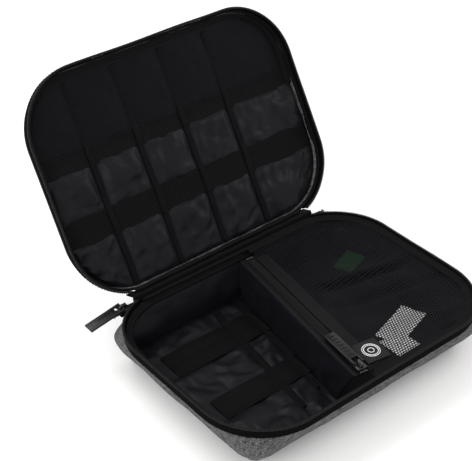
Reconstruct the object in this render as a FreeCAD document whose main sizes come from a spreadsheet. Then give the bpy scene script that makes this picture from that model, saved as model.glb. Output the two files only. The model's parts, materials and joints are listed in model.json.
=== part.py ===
"""Cable organizer pouch: a soft clamshell case with a zipped rim, elastic loops and a mesh pocket.

Origin on the surface that the base rests on, under the middle of its zipped rim. +X runs to the
right along the hinge, +Y towards the hinge at the back, +Z up. Millimetres. The lid is drawn
closed, in a frame of its own on the hinge line, and its placement turns it open.
"""
import FreeCAD
import Part
import math
import os
import Sketcher

# Driving sizes. Each becomes a cell of the sheet, under the same name.
SIZES = {
    # outline of the zipped rim, and the boxy body below it
    "rim_width": 236.0,
    "rim_depth": 169.0,
    "rim_corner": 48.0,
    "crease_width": 231.0,
    "crease_depth": 165.0,
    "crease_corner": 18.0,
    "crease_level": 28.0,
    "floor_width": 194.0,
    "floor_depth": 140.0,
    "floor_corner": 6.0,
    "floor_shift": 8.0,
    "wall_rise": 36.0,
    # layers of the fabric walls
    "fabric_thick": 1.2,
    "side_foam_thick": 2.4,
    "floor_foam_thick": 3.0,
    "lining_thick": 0.8,
    "layer_gap": 0.1,
    "seam_cover_thick": 1.2,
    "seam_cover_width": 4.6,
    # zip round the rim
    "tape_rise": 8.0,
    "tape_thick": 0.8,
    "coil_width": 2.4,
    "coil_rise": 1.8,
    "coil_overhang": 0.8,
    "closing_gap": 0.3,
    # hinge
    "hinge_gap": 1.2,
    "spine_inset": 32.0,
    "fold_inset": 40.0,
    "fold_radius": 0.9,
    "fold_web": 0.8,
    # lid
    "lid_angle": 121.5,
    "lid_wall_rise": 8.0,
    "lid_taper": 1.0,
    "lid_foam_thick": 3.5,
    # elastics and strips in the lid
    "elastic_thick": 0.8,
    "strip_thick": 0.7,
    "lid_strip_width": 6.0,
    "lid_strip_pitch": 42.0,
    "lid_strip_first": -74.0,
    "lid_strip_low": 9.0,
    "lid_strip_high": 153.0,
    "loop_elastic_low": 45.0,
    "loop_elastic_width": 21.0,
    "hem_elastic_low": 98.0,
    "hem_elastic_width": 15.0,
    "mesh_thick": 0.6,
    "lid_mesh_inset": 7.0,
    "mesh_binding_width": 4.0,
    # loops on the floor of the base
    "panel_thick": 1.0,
    "panel_margin": 5.5,
    "rear_elastic_low": 29.0,
    "rear_elastic_width": 26.0,
    "front_elastic_low": -24.0,
    "front_elastic_width": 21.0,
    "floor_elastic_left": -87.0,
    "floor_strip_x": -33.0,
    "floor_strip_width": 6.0,
    "floor_strip_turn": 8.0,
    "floor_strip_front": 24.0,
    "floor_strip_rear": 14.0,
    "edge_strip_short": 6.0,
    "edge_strip_width": 3.0,
    "edge_strip_gap": 4.0,
    # mesh pocket of the base
    "pocket_x": 1.0,
    "pocket_skew": 8.5,
    "pocket_zip_length": 148.0,
    "pocket_tape_width": 5.0,
    "pocket_wall_front_play": 1.0,
    "pocket_wall_rear_play": 4.0,
    "pocket_zip_margin": 1.0,
    "hem_margin": 2.0,
    "pocket_wall_thick": 1.2,
    "edge_binding_thick": 2.0,
    "edge_binding_width": 6.0,
    "hem_width": 11.0,
    # zip coils and sliders
    "coil_slit": 1.0,
    "bead_width": 2.5,
    "bead_rise": 2.4,
    "slider_length": 8.0,
    "slider_width": 7.6,
    "slider_plate": 0.9,
    "slider_play": 0.35,
    "slider_web": 0.5,
    "bail_length": 6.8,
    "bail_width": 2.0,
    "bail_rise": 3.2,
    "bail_wire": 0.8,
    "pin_radius": 0.6,
    "pin_forward": 1.2,
    "pin_rise": 1.45,
    "arm_length": 5.4,
    "arm_gap": 0.4,
    "arm_thick": 1.1,
    "arm_lap": 1.0,
    "puller_width": 9.0,
    "puller_thick": 1.8,
    "main_puller_length": 24.0,
    "pocket_puller_length": 30.0,
    "puller_corner": 2.0,
    "main_puller_droop": 10.0,
    "pocket_puller_droop": 2.5,
    # closed ends of the main zip, beside the hinge
    "stub_forward": 0.2,
    "stub_drop": 6.0,
    "stub_inset": 27.0,
    "stub_length": 13.4,
    "right_stub_length": 7.4,
    "stub_bridge": 2.0,
    "stub_lap": 1.0,
    "slider_inset": 22.0,
    "pocket_park": -68.0,
    "stop_length": 1.6,
    # labels
    "label_thick": 0.4,
    "care_label_length": 42.0,
    "care_label_width": 20.0,
    "care_tab_length": 20.0,
    "woven_label_length": 21.0,
    "woven_label_width": 19.0,
    "tag_length": 24.0,
    "tag_width": 15.0,
    "care_label_x": 47.0,
    "care_label_y": -52.0,
    "care_label_turn": 18.0,
    "care_tab_x": 30.5,
    "care_tab_y": -66.0,
    "care_tab_turn": 0.0,
    "tag_x": 70.0,
    "tag_y": 25.0,
    "tag_turn": 20.0,
    "woven_label_x": -6.5,
    "woven_label_y": -59.0,
}


class Dim:
    """A size together with the sheet formula that it comes from."""

    def __init__(self, number, formula):
        self.number = number
        self.formula = formula

    def __add__(self, other):
        other = as_dim(other)
        return Dim(self.number + other.number, f"({self.formula} + {other.formula})")

    def __sub__(self, other):
        other = as_dim(other)
        return Dim(self.number - other.number, f"({self.formula} - {other.formula})")

    def __mul__(self, other):
        other = as_dim(other)
        return Dim(self.number * other.number, f"({self.formula} * {other.formula})")

    def __truediv__(self, other):
        other = as_dim(other)
        return Dim(self.number / other.number, f"({self.formula} / {other.formula})")

    def __radd__(self, other):
        return as_dim(other) + self

    def __rsub__(self, other):
        return as_dim(other) - self

    def __rmul__(self, other):
        return as_dim(other) * self

    def __neg__(self):
        return as_dim(0.0) - self


def as_dim(value):
    """A plain number becomes a Dim whose formula is that number."""
    return value if isinstance(value, Dim) else Dim(float(value), f"({float(value)})")


doc = FreeCAD.newDocument("CableOrganizerPouch")
sheet = doc.addObject("Spreadsheet::Sheet", "Sizes")
for row, (alias, number) in enumerate(SIZES.items(), start=1):
    sheet.set(f"A{row}", alias)
    sheet.set(f"B{row}", str(number))
    sheet.setAlias(f"B{row}", alias)
doc.recompute()


def size(alias):
    """The cell of that name, as a Dim."""
    return Dim(float(getattr(sheet, alias)), f"Sizes.{alias}")


def bind(thing, prop, dim):
    """Tie one property to its formula."""
    thing.setExpression(prop, as_dim(dim).formula)


# ---------------------------------------------------------------- building blocks

NODES = []


def new_body(label):
    """An empty body that becomes the node of that name."""
    body = doc.addObject("PartDesign::Body", label)
    body.Label = label
    NODES.append(body)
    return body


def origin_plane(body, role):
    """The body's own origin plane of that role."""
    return next(plane for plane in body.Origin.OriginFeatures if plane.Role == role)


def sketch_on(body, name, role="XY_Plane", shift=(0.0, 0.0, 0.0)):
    """A sketch on one of the body's planes, moved within that plane's own frame."""
    sketch = body.newObject("Sketcher::SketchObject", name)
    sketch.AttachmentSupport = [(origin_plane(body, role), "")]
    sketch.MapMode = "FlatFace"
    for axis, amount in zip("xyz", shift):
        bind(sketch, f"AttachmentOffset.Base.{axis}", amount)
    return sketch


def draw_rounded(sketch, width, depth, corner):
    """A rounded rectangle about the sketch's origin, tied to its width, depth and corner radius."""
    width, depth, corner = as_dim(width), as_dim(depth), as_dim(corner)
    half_x = width.number / 2
    half_y = depth.number / 2
    radius = corner.number
    inner_x = half_x - radius
    inner_y = half_y - radius
    up = FreeCAD.Vector(0, 0, 1)
    first = sketch.GeometryCount
    lines = [
        ((-inner_x, -half_y), (inner_x, -half_y)),
        ((half_x, -inner_y), (half_x, inner_y)),
        ((inner_x, half_y), (-inner_x, half_y)),
        ((-half_x, inner_y), (-half_x, -inner_y)),
    ]
    for start, end in lines:
        sketch.addGeometry(Part.LineSegment(FreeCAD.Vector(*start, 0), FreeCAD.Vector(*end, 0)))
    corners = [(inner_x, -inner_y), (inner_x, inner_y), (-inner_x, inner_y), (-inner_x, -inner_y)]
    for turn, centre in enumerate(corners):
        circle = Part.Circle(FreeCAD.Vector(*centre, 0), up, radius)
        begin = (turn - 1) * math.pi / 2
        sketch.addGeometry(Part.ArcOfCircle(circle, begin, begin + math.pi / 2))
    for side in range(4):
        line = first + side
        arc = first + 4 + side
        following = first + (side + 1) % 4
        sketch.addConstraint(Sketcher.Constraint("Tangent", line, 2, arc, 1))
        sketch.addConstraint(Sketcher.Constraint("Tangent", arc, 2, following, 1))
        if side:
            sketch.addConstraint(Sketcher.Constraint("Equal", first + 4, arc))
    for side in (0, 2):
        sketch.addConstraint(Sketcher.Constraint("Horizontal", first + side))
    for side in (1, 3):
        sketch.addConstraint(Sketcher.Constraint("Vertical", first + side))
    sketch.addConstraint(Sketcher.Constraint("Symmetric", first, 1, first + 2, 1, -1, 1))
    wide = sketch.addConstraint(Sketcher.Constraint("DistanceX", first + 3, 1, first + 1, 2, width.number))
    deep = sketch.addConstraint(Sketcher.Constraint("DistanceY", first, 1, first + 2, 2, depth.number))
    bend = sketch.addConstraint(Sketcher.Constraint("Radius", first + 4, radius))
    bind(sketch, f"Constraints[{wide}]", width)
    bind(sketch, f"Constraints[{deep}]", depth)
    bind(sketch, f"Constraints[{bend}]", corner)


def outline(section, inset):
    """Width, depth and corner of a section (a triple of Dims) drawn in by an inset all round."""
    width, depth, corner = section
    return width - 2 * inset, depth - 2 * inset, corner - inset


def ring(body, section, outer_inset, inner_inset, low, high, centre_y):
    """A flat band that follows a rounded outline, between two insets and two levels."""
    sketch = sketch_on(body, f"{body.Label}_plan", shift=(0.0, centre_y, low))
    draw_rounded(sketch, *outline(section, outer_inset))
    draw_rounded(sketch, *outline(section, inner_inset))
    pad = body.newObject("PartDesign::Pad", f"{body.Label}_pad")
    pad.Profile = sketch
    bind(pad, "Length", high - low)
    return pad


def plate(body, section, inset, low, high, centre_y):
    """A solid slab with a rounded outline, between two levels."""
    sketch = sketch_on(body, f"{body.Label}_plan", shift=(0.0, centre_y, low))
    draw_rounded(sketch, *outline(section, inset))
    pad = body.newObject("PartDesign::Pad", f"{body.Label}_pad")
    pad.Profile = sketch
    bind(pad, "Length", high - low)
    return pad


def loft(body, kind, levels):
    """A ruled loft through rounded outlines, each given as (section, inset, level, centre_y)."""
    sketches = []
    for index, (section, inset, level, centre_y) in enumerate(levels):
        name = f"{body.Label}_{kind}_{index}"
        sketch = sketch_on(body, name, shift=(0.0, centre_y, level))
        draw_rounded(sketch, *outline(section, inset))
        sketches.append(sketch)
    feature = body.newObject(f"PartDesign::{kind}Loft", f"{body.Label}_{kind}_loft")
    feature.Profile = sketches[0]
    feature.Sections = sketches[1:]
    feature.Ruled = True
    return feature


def block(body, name, low, high, cut=False):
    """A box between two corners, added to the body or cut out of it."""
    kind = "PartDesign::SubtractiveBox" if cut else "PartDesign::AdditiveBox"
    feature = body.newObject(kind, f"{body.Label}_{name}")
    for prop, start, end in zip(("Length", "Width", "Height"), low, high):
        bind(feature, prop, as_dim(end) - start)
    for axis, start in zip("xyz", low):
        bind(feature, f"Placement.Base.{axis}", start)
    return feature


def place(body, base, rotation):
    """Put a body that was drawn in a frame of its own in its place on the object."""
    body.Placement = FreeCAD.Placement(FreeCAD.Vector(), rotation)
    for axis, amount in zip("xyz", base):
        bind(body, f"Placement.Base.{axis}", amount)


# ---------------------------------------------------------------- shared sections and levels

RIM = (size("rim_width"), size("rim_depth"), size("rim_corner"))
CREASE = (size("crease_width"), size("crease_depth"), size("crease_corner"))
FLOOR = (size("floor_width"), size("floor_depth"), size("floor_corner"))

crease_level = size("crease_level")
wall_top = size("wall_rise")
closure = wall_top + size("tape_rise")
half_gap = size("closing_gap") / 2
fabric = size("fabric_thick")
layer_gap = size("layer_gap")
floor_shift = size("floor_shift")


def wall_section(level):
    """Section of the base wall's outside at a level between the floor and the crease."""
    share = as_dim(level) / crease_level
    return tuple(low + (high - low) * share for low, high in zip(FLOOR, CREASE))


def wall_centre(level):
    """How far back the middle of that section lies."""
    return floor_shift - floor_shift * as_dim(level) / crease_level


# ---------------------------------------------------------------- base: walls and layers

def base_walls():
    """Outer fabric, foam and lining of the base, each inside the last."""
    side = new_body("base_side_wall")
    for kind, inset in (("Additive", as_dim(0.0)), ("Subtractive", fabric)):
        levels = [
            (FLOOR, inset, as_dim(0.0), floor_shift),
            (CREASE, inset, crease_level, as_dim(0.0)),
            (RIM, inset, wall_top, as_dim(0.0)),
        ]
        loft(side, kind, levels)

    bottom = new_body("base_bottom_panel")
    plate(bottom, FLOOR, fabric + layer_gap, as_dim(0.0), fabric, floor_shift)

    foam_top = fabric + size("floor_foam_thick")
    floor_foam = new_body("base_floor_foam")
    plate(floor_foam, FLOOR, fabric + layer_gap, fabric, foam_top, floor_shift)

    foam_outer = fabric + layer_gap
    foam_inner = foam_outer + size("side_foam_thick")
    foam = new_body("base_side_foam")
    for kind, inset in (("Additive", foam_outer), ("Subtractive", foam_inner)):
        levels = [
            (wall_section(foam_top), inset, foam_top, wall_centre(foam_top)),
            (CREASE, inset, crease_level, as_dim(0.0)),
            (RIM, inset, wall_top, as_dim(0.0)),
        ]
        loft(foam, kind, levels)

    lining_outer = foam_inner + layer_gap
    lining_inner = lining_outer + size("lining_thick")
    lining_floor = foam_top + size("lining_thick")
    lining = new_body("base_lining")
    steps = (("Additive", lining_outer, foam_top), ("Subtractive", lining_inner, lining_floor))
    for kind, inset, low in steps:
        levels = [
            (wall_section(low), inset, low, wall_centre(low)),
            (CREASE, inset, crease_level, as_dim(0.0)),
            (RIM, inset, wall_top, as_dim(0.0)),
        ]
        loft(lining, kind, levels)

    cover = new_body("base_seam_binding")
    cover_inner = size("tape_thick") + size("seam_cover_width")
    cover_high = wall_top + size("seam_cover_thick")
    ring(cover, RIM, size("tape_thick"), cover_inner, wall_top, cover_high, as_dim(0.0))
    return lining_floor, lining_inner


lining_floor, lining_inner = base_walls()
cover_top = wall_top + size("seam_cover_thick")
cover_inner = size("tape_thick") + size("seam_cover_width")


# ---------------------------------------------------------------- zip round the rim

half_spine = size("rim_width") / 2 - size("spine_inset")


def rim_zip(prefix, tape_low, tape_high, coil_low, coil_high, centre_y):
    """Tape and coil of one half, open along the spine, and the spine strip that fills the gap."""
    tape = new_body(f"{prefix}_zip_tape")
    ring(tape, RIM, as_dim(0.0), size("tape_thick"), tape_low, tape_high, centre_y)
    coil = new_body(f"{prefix}_zip_coil")
    coil_outer = -size("coil_overhang")
    ring(coil, RIM, coil_outer, size("coil_width") - size("coil_overhang"), coil_low, coil_high, centre_y)
    strip = new_body(f"spine_{prefix}_strip")
    strip_low = coil_low if coil_low.number < tape_low.number else tape_low
    strip_high = coil_high if coil_high.number > tape_high.number else tape_high
    ring(strip, RIM, as_dim(0.0), size("tape_thick"), strip_low, strip_high, centre_y)
    reach = size("rim_depth")
    near = centre_y + size("rim_depth") / 4
    below = strip_low - 1
    above = strip_high + 1
    for body in (tape, coil):
        block(body, "spine_gap", (-half_spine, near, below), (half_spine, near + reach, above), cut=True)
    block(strip, "front_cut", (-reach, near - reach, below), (reach, near, above), cut=True)
    block(strip, "left_cut", (-2 * reach, near - reach, below), (-half_spine, near + reach, above), cut=True)
    block(strip, "right_cut", (half_spine, near - reach, below), (2 * reach, near + reach, above), cut=True)


coil_top = closure - half_gap
coil_bottom = coil_top - size("coil_rise")
rim_zip("base", wall_top, coil_bottom, coil_bottom, coil_top, as_dim(0.0))

hinge_y = size("rim_depth") / 2 + size("hinge_gap")


def spine_fold():
    """The round fold on the hinge line, and the web of fabric that hangs it on the base."""
    body = new_body("spine_fold")
    half = size("rim_width") / 2 - size("fold_inset")
    outside = size("rim_depth") / 2
    block(body, "web", (-half, outside, wall_top), (half, outside + size("fold_web"), closure))
    sketch = sketch_on(body, "spine_fold_round", role="YZ_Plane", shift=(hinge_y, closure, -half))
    circle = Part.Circle(FreeCAD.Vector(), FreeCAD.Vector(0, 0, 1), size("fold_radius").number)
    sketch.addGeometry(circle)
    sketch.addConstraint(Sketcher.Constraint("Coincident", 0, 3, -1, 1))
    radius = sketch.addConstraint(Sketcher.Constraint("Radius", 0, size("fold_radius").number))
    bind(sketch, f"Constraints[{radius}]", size("fold_radius"))
    pad = body.newObject("PartDesign::Pad", "spine_fold_rod")
    pad.Profile = sketch
    bind(pad, "Length", half * 2)


spine_fold()


# ---------------------------------------------------------------- loops on the base floor

def base_floor():
    """Lining panel with its two elastics and the strips sewn across them."""
    skew = size("pocket_skew").number
    panel_top = lining_floor + size("panel_thick")
    elastic_top = panel_top + size("elastic_thick")
    strip_top = elastic_top + size("strip_thick")
    wall_face = -(size("bead_width") + size("pocket_tape_width") + size("coil_slit") / 2 + 2 * layer_gap)
    reach = size("rim_depth")

    def trim(body):
        """Cut a floor piece back to the pocket's slanted wall."""
        feature = body.newObject("PartDesign::SubtractiveBox", f"{body.Label}_wall_side")
        bind(feature, "Length", reach)
        bind(feature, "Width", 2 * reach)
        bind(feature, "Height", closure)
        turned = FreeCAD.Rotation(FreeCAD.Vector(0, 0, 1), -skew)
        feature.Placement = FreeCAD.Placement(FreeCAD.Vector(), turned)
        corner_x = f"Sizes.pocket_x + ({wall_face.formula}) * cos(Sizes.pocket_skew) - "
        corner_y = f"-({wall_face.formula}) * sin(Sizes.pocket_skew) - "
        feature.setExpression("Placement.Base.x", corner_x + "Sizes.rim_depth * sin(Sizes.pocket_skew)")
        feature.setExpression("Placement.Base.y", corner_y + "Sizes.rim_depth * cos(Sizes.pocket_skew)")

    panel = new_body("floor_loop_panel")
    section = wall_section(lining_floor)
    plate(panel, section, size("panel_margin"), lining_floor, panel_top, wall_centre(lining_floor))
    trim(panel)

    left = size("floor_elastic_left")
    right = size("rim_width") / 4
    for name, low_y, width in (
        ("rear_floor_elastic", size("rear_elastic_low"), size("rear_elastic_width")),
        ("front_floor_elastic", size("front_elastic_low"), size("front_elastic_width")),
    ):
        elastic = new_body(name)
        block(elastic, "band", (left, low_y, panel_top), (right, low_y + width, elastic_top))
        trim(elastic)

    strip_low = size("front_elastic_low") - size("floor_strip_front")
    strip_high = size("rear_elastic_low") + size("rear_elastic_width") + size("floor_strip_rear")
    strip = new_body("floor_divider_strip")
    half = size("floor_strip_width") / 2
    block(strip, "band", (-half, strip_low, elastic_top), (half, strip_high, strip_top))
    turn = FreeCAD.Rotation(FreeCAD.Vector(0, 0, 1), -size("floor_strip_turn").number)
    place(strip, (size("floor_strip_x"), as_dim(0.0), as_dim(0.0)), turn)

    edge = new_body("floor_edge_strip")
    far = wall_face - size("edge_strip_gap")
    short = size("edge_strip_short")
    low = (far - size("edge_strip_width"), strip_low + short, elastic_top)
    block(edge, "band", low, (far, strip_high - short, strip_top))
    edge_turn = FreeCAD.Rotation(FreeCAD.Vector(0, 0, 1), -skew)
    place(edge, (size("pocket_x"), as_dim(0.0), as_dim(0.0)), edge_turn)


base_floor()


# ---------------------------------------------------------------- mesh pocket of the base

pocket_level = cover_top + size("edge_binding_thick") + size("mesh_thick") / 2
POCKET_TURN = FreeCAD.Rotation(FreeCAD.Vector(0, 0, 1), -size("pocket_skew").number)
pocket_base = (size("pocket_x"), as_dim(0.0), as_dim(0.0))
half_slit = size("coil_slit") / 2
bead_edge = half_slit + size("bead_width")
tape_edge = bead_edge + size("pocket_tape_width")


def pocket():
    """Divider wall, mesh, hem, tapes and coils of the zipped pocket."""
    half_mesh = size("mesh_thick") / 2
    mesh_low = pocket_level - half_mesh
    mesh_high = pocket_level + half_mesh
    half_zip = size("pocket_zip_length") / 2
    margin = size("pocket_zip_margin")
    reach = size("rim_depth")

    wall = new_body("pocket_divider_wall")
    inside_front = size("floor_depth") / 2 - floor_shift - lining_inner - size("pocket_wall_front_play")
    inside_back = size("floor_depth") / 2 + floor_shift - lining_inner - size("pocket_wall_rear_play")
    sketch = sketch_on(wall, "pocket_wall_side", role="YZ_Plane", shift=(0.0, 0.0, -tape_edge))
    points = [
        (-inside_front, lining_floor),
        (inside_back, lining_floor),
        (half_zip - margin, mesh_low),
        (margin - half_zip, mesh_low),
    ]
    vectors = [FreeCAD.Vector(y.number, z.number, 0) for y, z in points]
    for index, start in enumerate(vectors):
        sketch.addGeometry(Part.LineSegment(start, vectors[(index + 1) % 4]))
    for index in range(4):
        sketch.addConstraint(Sketcher.Constraint("Coincident", index, 2, (index + 1) % 4, 1))
    for index, (y, z) in enumerate(points):
        sign_y = 1 if y.number > 0 else -1
        across = Sketcher.Constraint("DistanceX", index, 1, -1, 1, -y.number)
        if sign_y > 0:
            across = Sketcher.Constraint("DistanceX", -1, 1, index, 1, y.number)
        bind(sketch, f"Constraints[{sketch.addConstraint(across)}]", y * sign_y)
        above = Sketcher.Constraint("DistanceY", -1, 1, index, 1, z.number)
        bind(sketch, f"Constraints[{sketch.addConstraint(above)}]", z)
    pad = wall.newObject("PartDesign::Pad", "pocket_wall_pad")
    pad.Profile = sketch
    bind(pad, "Length", size("pocket_wall_thick"))
    place(wall, pocket_base, POCKET_TURN)

    tapes = (("pocket_wall_tape", -tape_edge, -bead_edge), ("pocket_mesh_tape", bead_edge, tape_edge))
    for name, low_x, high_x in tapes:
        tape = new_body(name)
        block(tape, "band", (low_x, -half_zip, mesh_low), (high_x, half_zip, mesh_high))
        place(tape, pocket_base, POCKET_TURN)

    half_bead = size("bead_rise") / 2
    coils = (("pocket_wall_coil", -bead_edge, -half_slit), ("pocket_mesh_coil", half_slit, bead_edge))
    stop = size("stop_length")
    for name, low_x, high_x in coils:
        coil = new_body(name)
        low = (low_x, stop - half_zip, pocket_level - half_bead)
        high = (high_x, half_zip - stop, pocket_level + half_bead)
        block(coil, "bead", low, high)
        place(coil, pocket_base, POCKET_TURN)
    for name, side in (("pocket_front_stop", -1), ("pocket_rear_stop", 1)):
        piece = new_body(name)
        near = side * half_zip - (stop if side > 0 else 0)
        low = (-bead_edge, near, pocket_level - half_bead)
        high = (bead_edge, near + stop, pocket_level + half_bead)
        block(piece, "staple", low, high)
        place(piece, pocket_base, POCKET_TURN)

    def keep_right_of_zip(body, edge):
        """Cut away what lies left of a line beside the zip."""
        feature = body.newObject("PartDesign::SubtractiveBox", f"{body.Label}_zip_side")
        bind(feature, "Length", 2 * reach)
        bind(feature, "Width", 2 * reach)
        bind(feature, "Height", closure)
        feature.Placement = FreeCAD.Placement(FreeCAD.Vector(), POCKET_TURN)
        along = f"(({edge.formula}) - 2 * Sizes.rim_depth)"
        across = "Sizes.rim_depth * sin(Sizes.pocket_skew)"
        corner_x = f"Sizes.pocket_x + {along} * cos(Sizes.pocket_skew) - {across}"
        corner_y = f"-{along} * sin(Sizes.pocket_skew) - Sizes.rim_depth * cos(Sizes.pocket_skew)"
        feature.setExpression("Placement.Base.x", corner_x)
        feature.setExpression("Placement.Base.y", corner_y)

    binding = new_body("pocket_edge_binding")
    outer = size("tape_thick") + layer_gap
    ring(binding, RIM, outer, outer + size("edge_binding_width"), cover_top, mesh_low, as_dim(0.0))
    keep_right_of_zip(binding, tape_edge)

    mesh = new_body("pocket_mesh_panel")
    plate(mesh, RIM, outer, mesh_low, mesh_high, as_dim(0.0))
    keep_right_of_zip(mesh, tape_edge)

    hem = new_body("pocket_mesh_hem")
    hem_low = bead_edge + margin
    hem_end = half_zip - size("hem_margin")
    hem_far = hem_low + size("hem_width")
    block(hem, "band", (hem_low, -hem_end, mesh_high), (hem_far, hem_end, mesh_high + size("mesh_thick")))
    place(hem, pocket_base, POCKET_TURN)

    under = mesh_low - size("label_thick")
    lower = under - size("label_thick")
    labels = (
        ("care_label", "care_label", size("care_label_length"), size("care_label_width"), under),
        ("care_label_tab", "care_tab", size("care_tab_length"), size("care_label_width"), lower),
        ("inner_tag", "tag", size("tag_length"), size("tag_width"), under),
    )
    for name, prefix, length, width, level in labels:
        label = new_body(name)
        low = (length / -2, width / -2, level)
        high = (length / 2, width / 2, level + size("label_thick"))
        block(label, "cloth", low, high)
        turned = FreeCAD.Rotation(FreeCAD.Vector(0, 0, 1), size(f"{prefix}_turn").number)
        place(label, (size(f"{prefix}_x"), size(f"{prefix}_y"), as_dim(0.0)), turned)

    woven = new_body("woven_label")
    half_length = size("woven_label_length") / 2
    level = mesh_high + size("mesh_thick")
    low = (hem_low + margin, -half_length, level)
    high = (hem_low + margin + size("woven_label_width"), half_length, level + size("label_thick"))
    block(woven, "cloth", low, high)
    place(woven, (size("woven_label_x"), size("woven_label_y"), as_dim(0.0)), POCKET_TURN)


pocket()


# ---------------------------------------------------------------- sliders and pullers

def slider_set(prefix, base, turn, puller_length, puller_droop):
    """Slider, bail and puller, drawn with the puller towards +X and the coil's middle at zero."""
    facing = FreeCAD.Rotation(FreeCAD.Vector(0, 0, 1), turn)
    half_length = size("slider_length") / 2
    half_width = size("slider_width") / 2
    plate_low = size("bead_rise") / 2 + size("slider_play")
    plate_high = plate_low + size("slider_plate")
    half_web = size("slider_web") / 2

    slider = new_body(f"{prefix}_slider")
    block(slider, "top", (-half_length, -half_width, plate_low), (half_length, half_width, plate_high))
    block(slider, "web", (-half_length, -half_web, -plate_low), (half_length, half_web, plate_low))
    block(slider, "bottom", (-half_length, -half_width, -plate_high), (half_length, half_width, -plate_low))
    place(slider, base, facing)

    bail = new_body(f"{prefix}_slider_bail")
    half_bail = size("bail_length") / 2
    wire = size("bail_wire")
    half_thick = size("bail_width") / 2
    top = plate_high + size("bail_rise")
    block(bail, "rear_leg", (-half_bail, -half_thick, plate_high), (wire - half_bail, half_thick, top))
    block(bail, "front_leg", (half_bail - wire, -half_thick, plate_high), (half_bail, half_thick, top))
    block(bail, "arch", (-half_bail, -half_thick, top - wire), (half_bail, half_thick, top))
    place(bail, base, facing)

    puller = new_body(f"{prefix}_puller")
    inner = half_thick + size("arm_gap")
    half_puller = size("puller_width") / 2
    arm_outer = inner + size("arm_thick")
    pin = size("pin_radius")
    arm = size("arm_length")
    half_blade = size("puller_thick") / 2
    block(puller, "pin", (-pin, -arm_outer, -pin), (pin, arm_outer, pin))
    for side, name in ((1, "left_arm"), (-1, "right_arm")):
        low_y = inner if side > 0 else -arm_outer
        high_y = arm_outer if side > 0 else -inner
        block(puller, name, (-pin, low_y, -pin), (arm + size("arm_lap"), high_y, pin))
    sketch = sketch_on(puller, f"{prefix}_blade_plan", shift=(arm + puller_length / 2, 0.0, -half_blade))
    draw_rounded(sketch, puller_length, 2 * half_puller, size("puller_corner"))
    pad = puller.newObject("PartDesign::Pad", f"{prefix}_blade")
    pad.Profile = sketch
    bind(pad, "Length", size("puller_thick"))
    droop = FreeCAD.Rotation(FreeCAD.Vector(0, 1, 0), puller_droop.number)
    forward = size("pin_forward")
    radians = math.radians(turn)
    pivot = (
        base[0] + forward * round(math.cos(radians), 6),
        base[1] + forward * round(math.sin(radians), 6),
        base[2] + plate_high + size("pin_rise"),
    )
    place(puller, pivot, facing.multiply(droop))


stub_level = closure - size("stub_drop")
half_bead = size("bead_rise") / 2


def zip_ends():
    """Closed-coil ends of the main zip at both ends of the hinge, with the slider on the left one."""
    for name, side in (("left", -1), ("right", 1)):
        stub = new_body(f"{name}_zip_end")
        root = size("rim_width") / 2 - size("stub_inset")
        tip = root + size("stub_length" if side < 0 else "right_stub_length")
        stub_y = size("rim_depth") / 2 - size("stub_forward")
        fold_end = size("rim_width") / 2 - size("fold_inset")
        pieces = (
            ("tab", fold_end, root, as_dim(0.0), bead_edge),
            ("bridge", root - size("stub_bridge"), root + size("stub_lap"), -bead_edge, bead_edge),
            ("front_bead", root, tip, -bead_edge, -half_slit),
            ("rear_bead", root, tip, half_slit, bead_edge),
        )
        for piece, near, far, low_y, high_y in pieces:
            near_x = near if side > 0 else -far
            far_x = far if side > 0 else -near
            low = (near_x, stub_y + low_y, stub_level - half_bead)
            high = (far_x, stub_y + high_y, stub_level + half_bead)
            block(stub, piece, low, high)
        stop = new_body(f"{name}_end_stop")
        far_x = tip if side > 0 else -(tip + size("stop_length"))
        low = (far_x, stub_y - bead_edge, stub_level - half_bead)
        high = (far_x + size("stop_length"), stub_y + bead_edge, stub_level + half_bead)
        block(stop, "staple", low, high)
        if side < 0:
            parked = (size("slider_inset") - size("rim_width") / 2, stub_y, stub_level)
            length = size("main_puller_length")
            slider_set(f"{name}_main", parked, 180.0, length, size("main_puller_droop"))


zip_ends()

skew_radians = math.radians(size("pocket_skew").number)
pocket_slider_x = size("pocket_x") + size("pocket_park") * math.sin(skew_radians)
pocket_slider_y = size("pocket_park") * math.cos(skew_radians)
pocket_facing = 90.0 - size("pocket_skew").number
pocket_place = (pocket_slider_x, pocket_slider_y, pocket_level)
slider_set("pocket", pocket_place, pocket_facing, size("pocket_puller_length"), size("pocket_puller_droop"))


# ---------------------------------------------------------------- lid, drawn closed on the hinge line

lid_start = len(NODES)
lid_centre = -(size("rim_depth") / 2 + size("hinge_gap"))
lid_tape_top = size("tape_rise")
lid_top = lid_tape_top + size("lid_wall_rise")
lid_inset = fabric + size("lid_taper") + layer_gap


def lid_walls():
    """Outer fabric, board and lining of the lid."""
    side = new_body("lid_side_wall")
    taper = size("lid_taper")
    for kind, inset in (("Additive", as_dim(0.0)), ("Subtractive", fabric)):
        levels = [
            (RIM, inset, lid_tape_top, lid_centre),
            (RIM, inset + taper, lid_top, lid_centre),
        ]
        loft(side, kind, levels)
    inset = lid_inset
    top = new_body("lid_top_panel")
    plate(top, RIM, inset, lid_top - fabric, lid_top, lid_centre)
    foam_low = lid_top - fabric - size("lid_foam_thick")
    foam = new_body("lid_foam_board")
    plate(foam, RIM, inset, foam_low, lid_top - fabric, lid_centre)
    lining_low = foam_low - size("lining_thick")
    lining = new_body("lid_lining_panel")
    plate(lining, RIM, inset, lining_low, foam_low, lid_centre)
    gusset = new_body("lid_side_lining")
    gusset_outer = inset - size("lining_thick") + layer_gap
    ring(gusset, RIM, gusset_outer, inset, lid_tape_top, lining_low, lid_centre)
    cover = new_body("lid_seam_binding")
    cover_low = lid_tape_top - size("seam_cover_thick")
    ring(cover, RIM, size("tape_thick"), inset, cover_low, lid_tape_top, lid_centre)
    return lining_low


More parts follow.
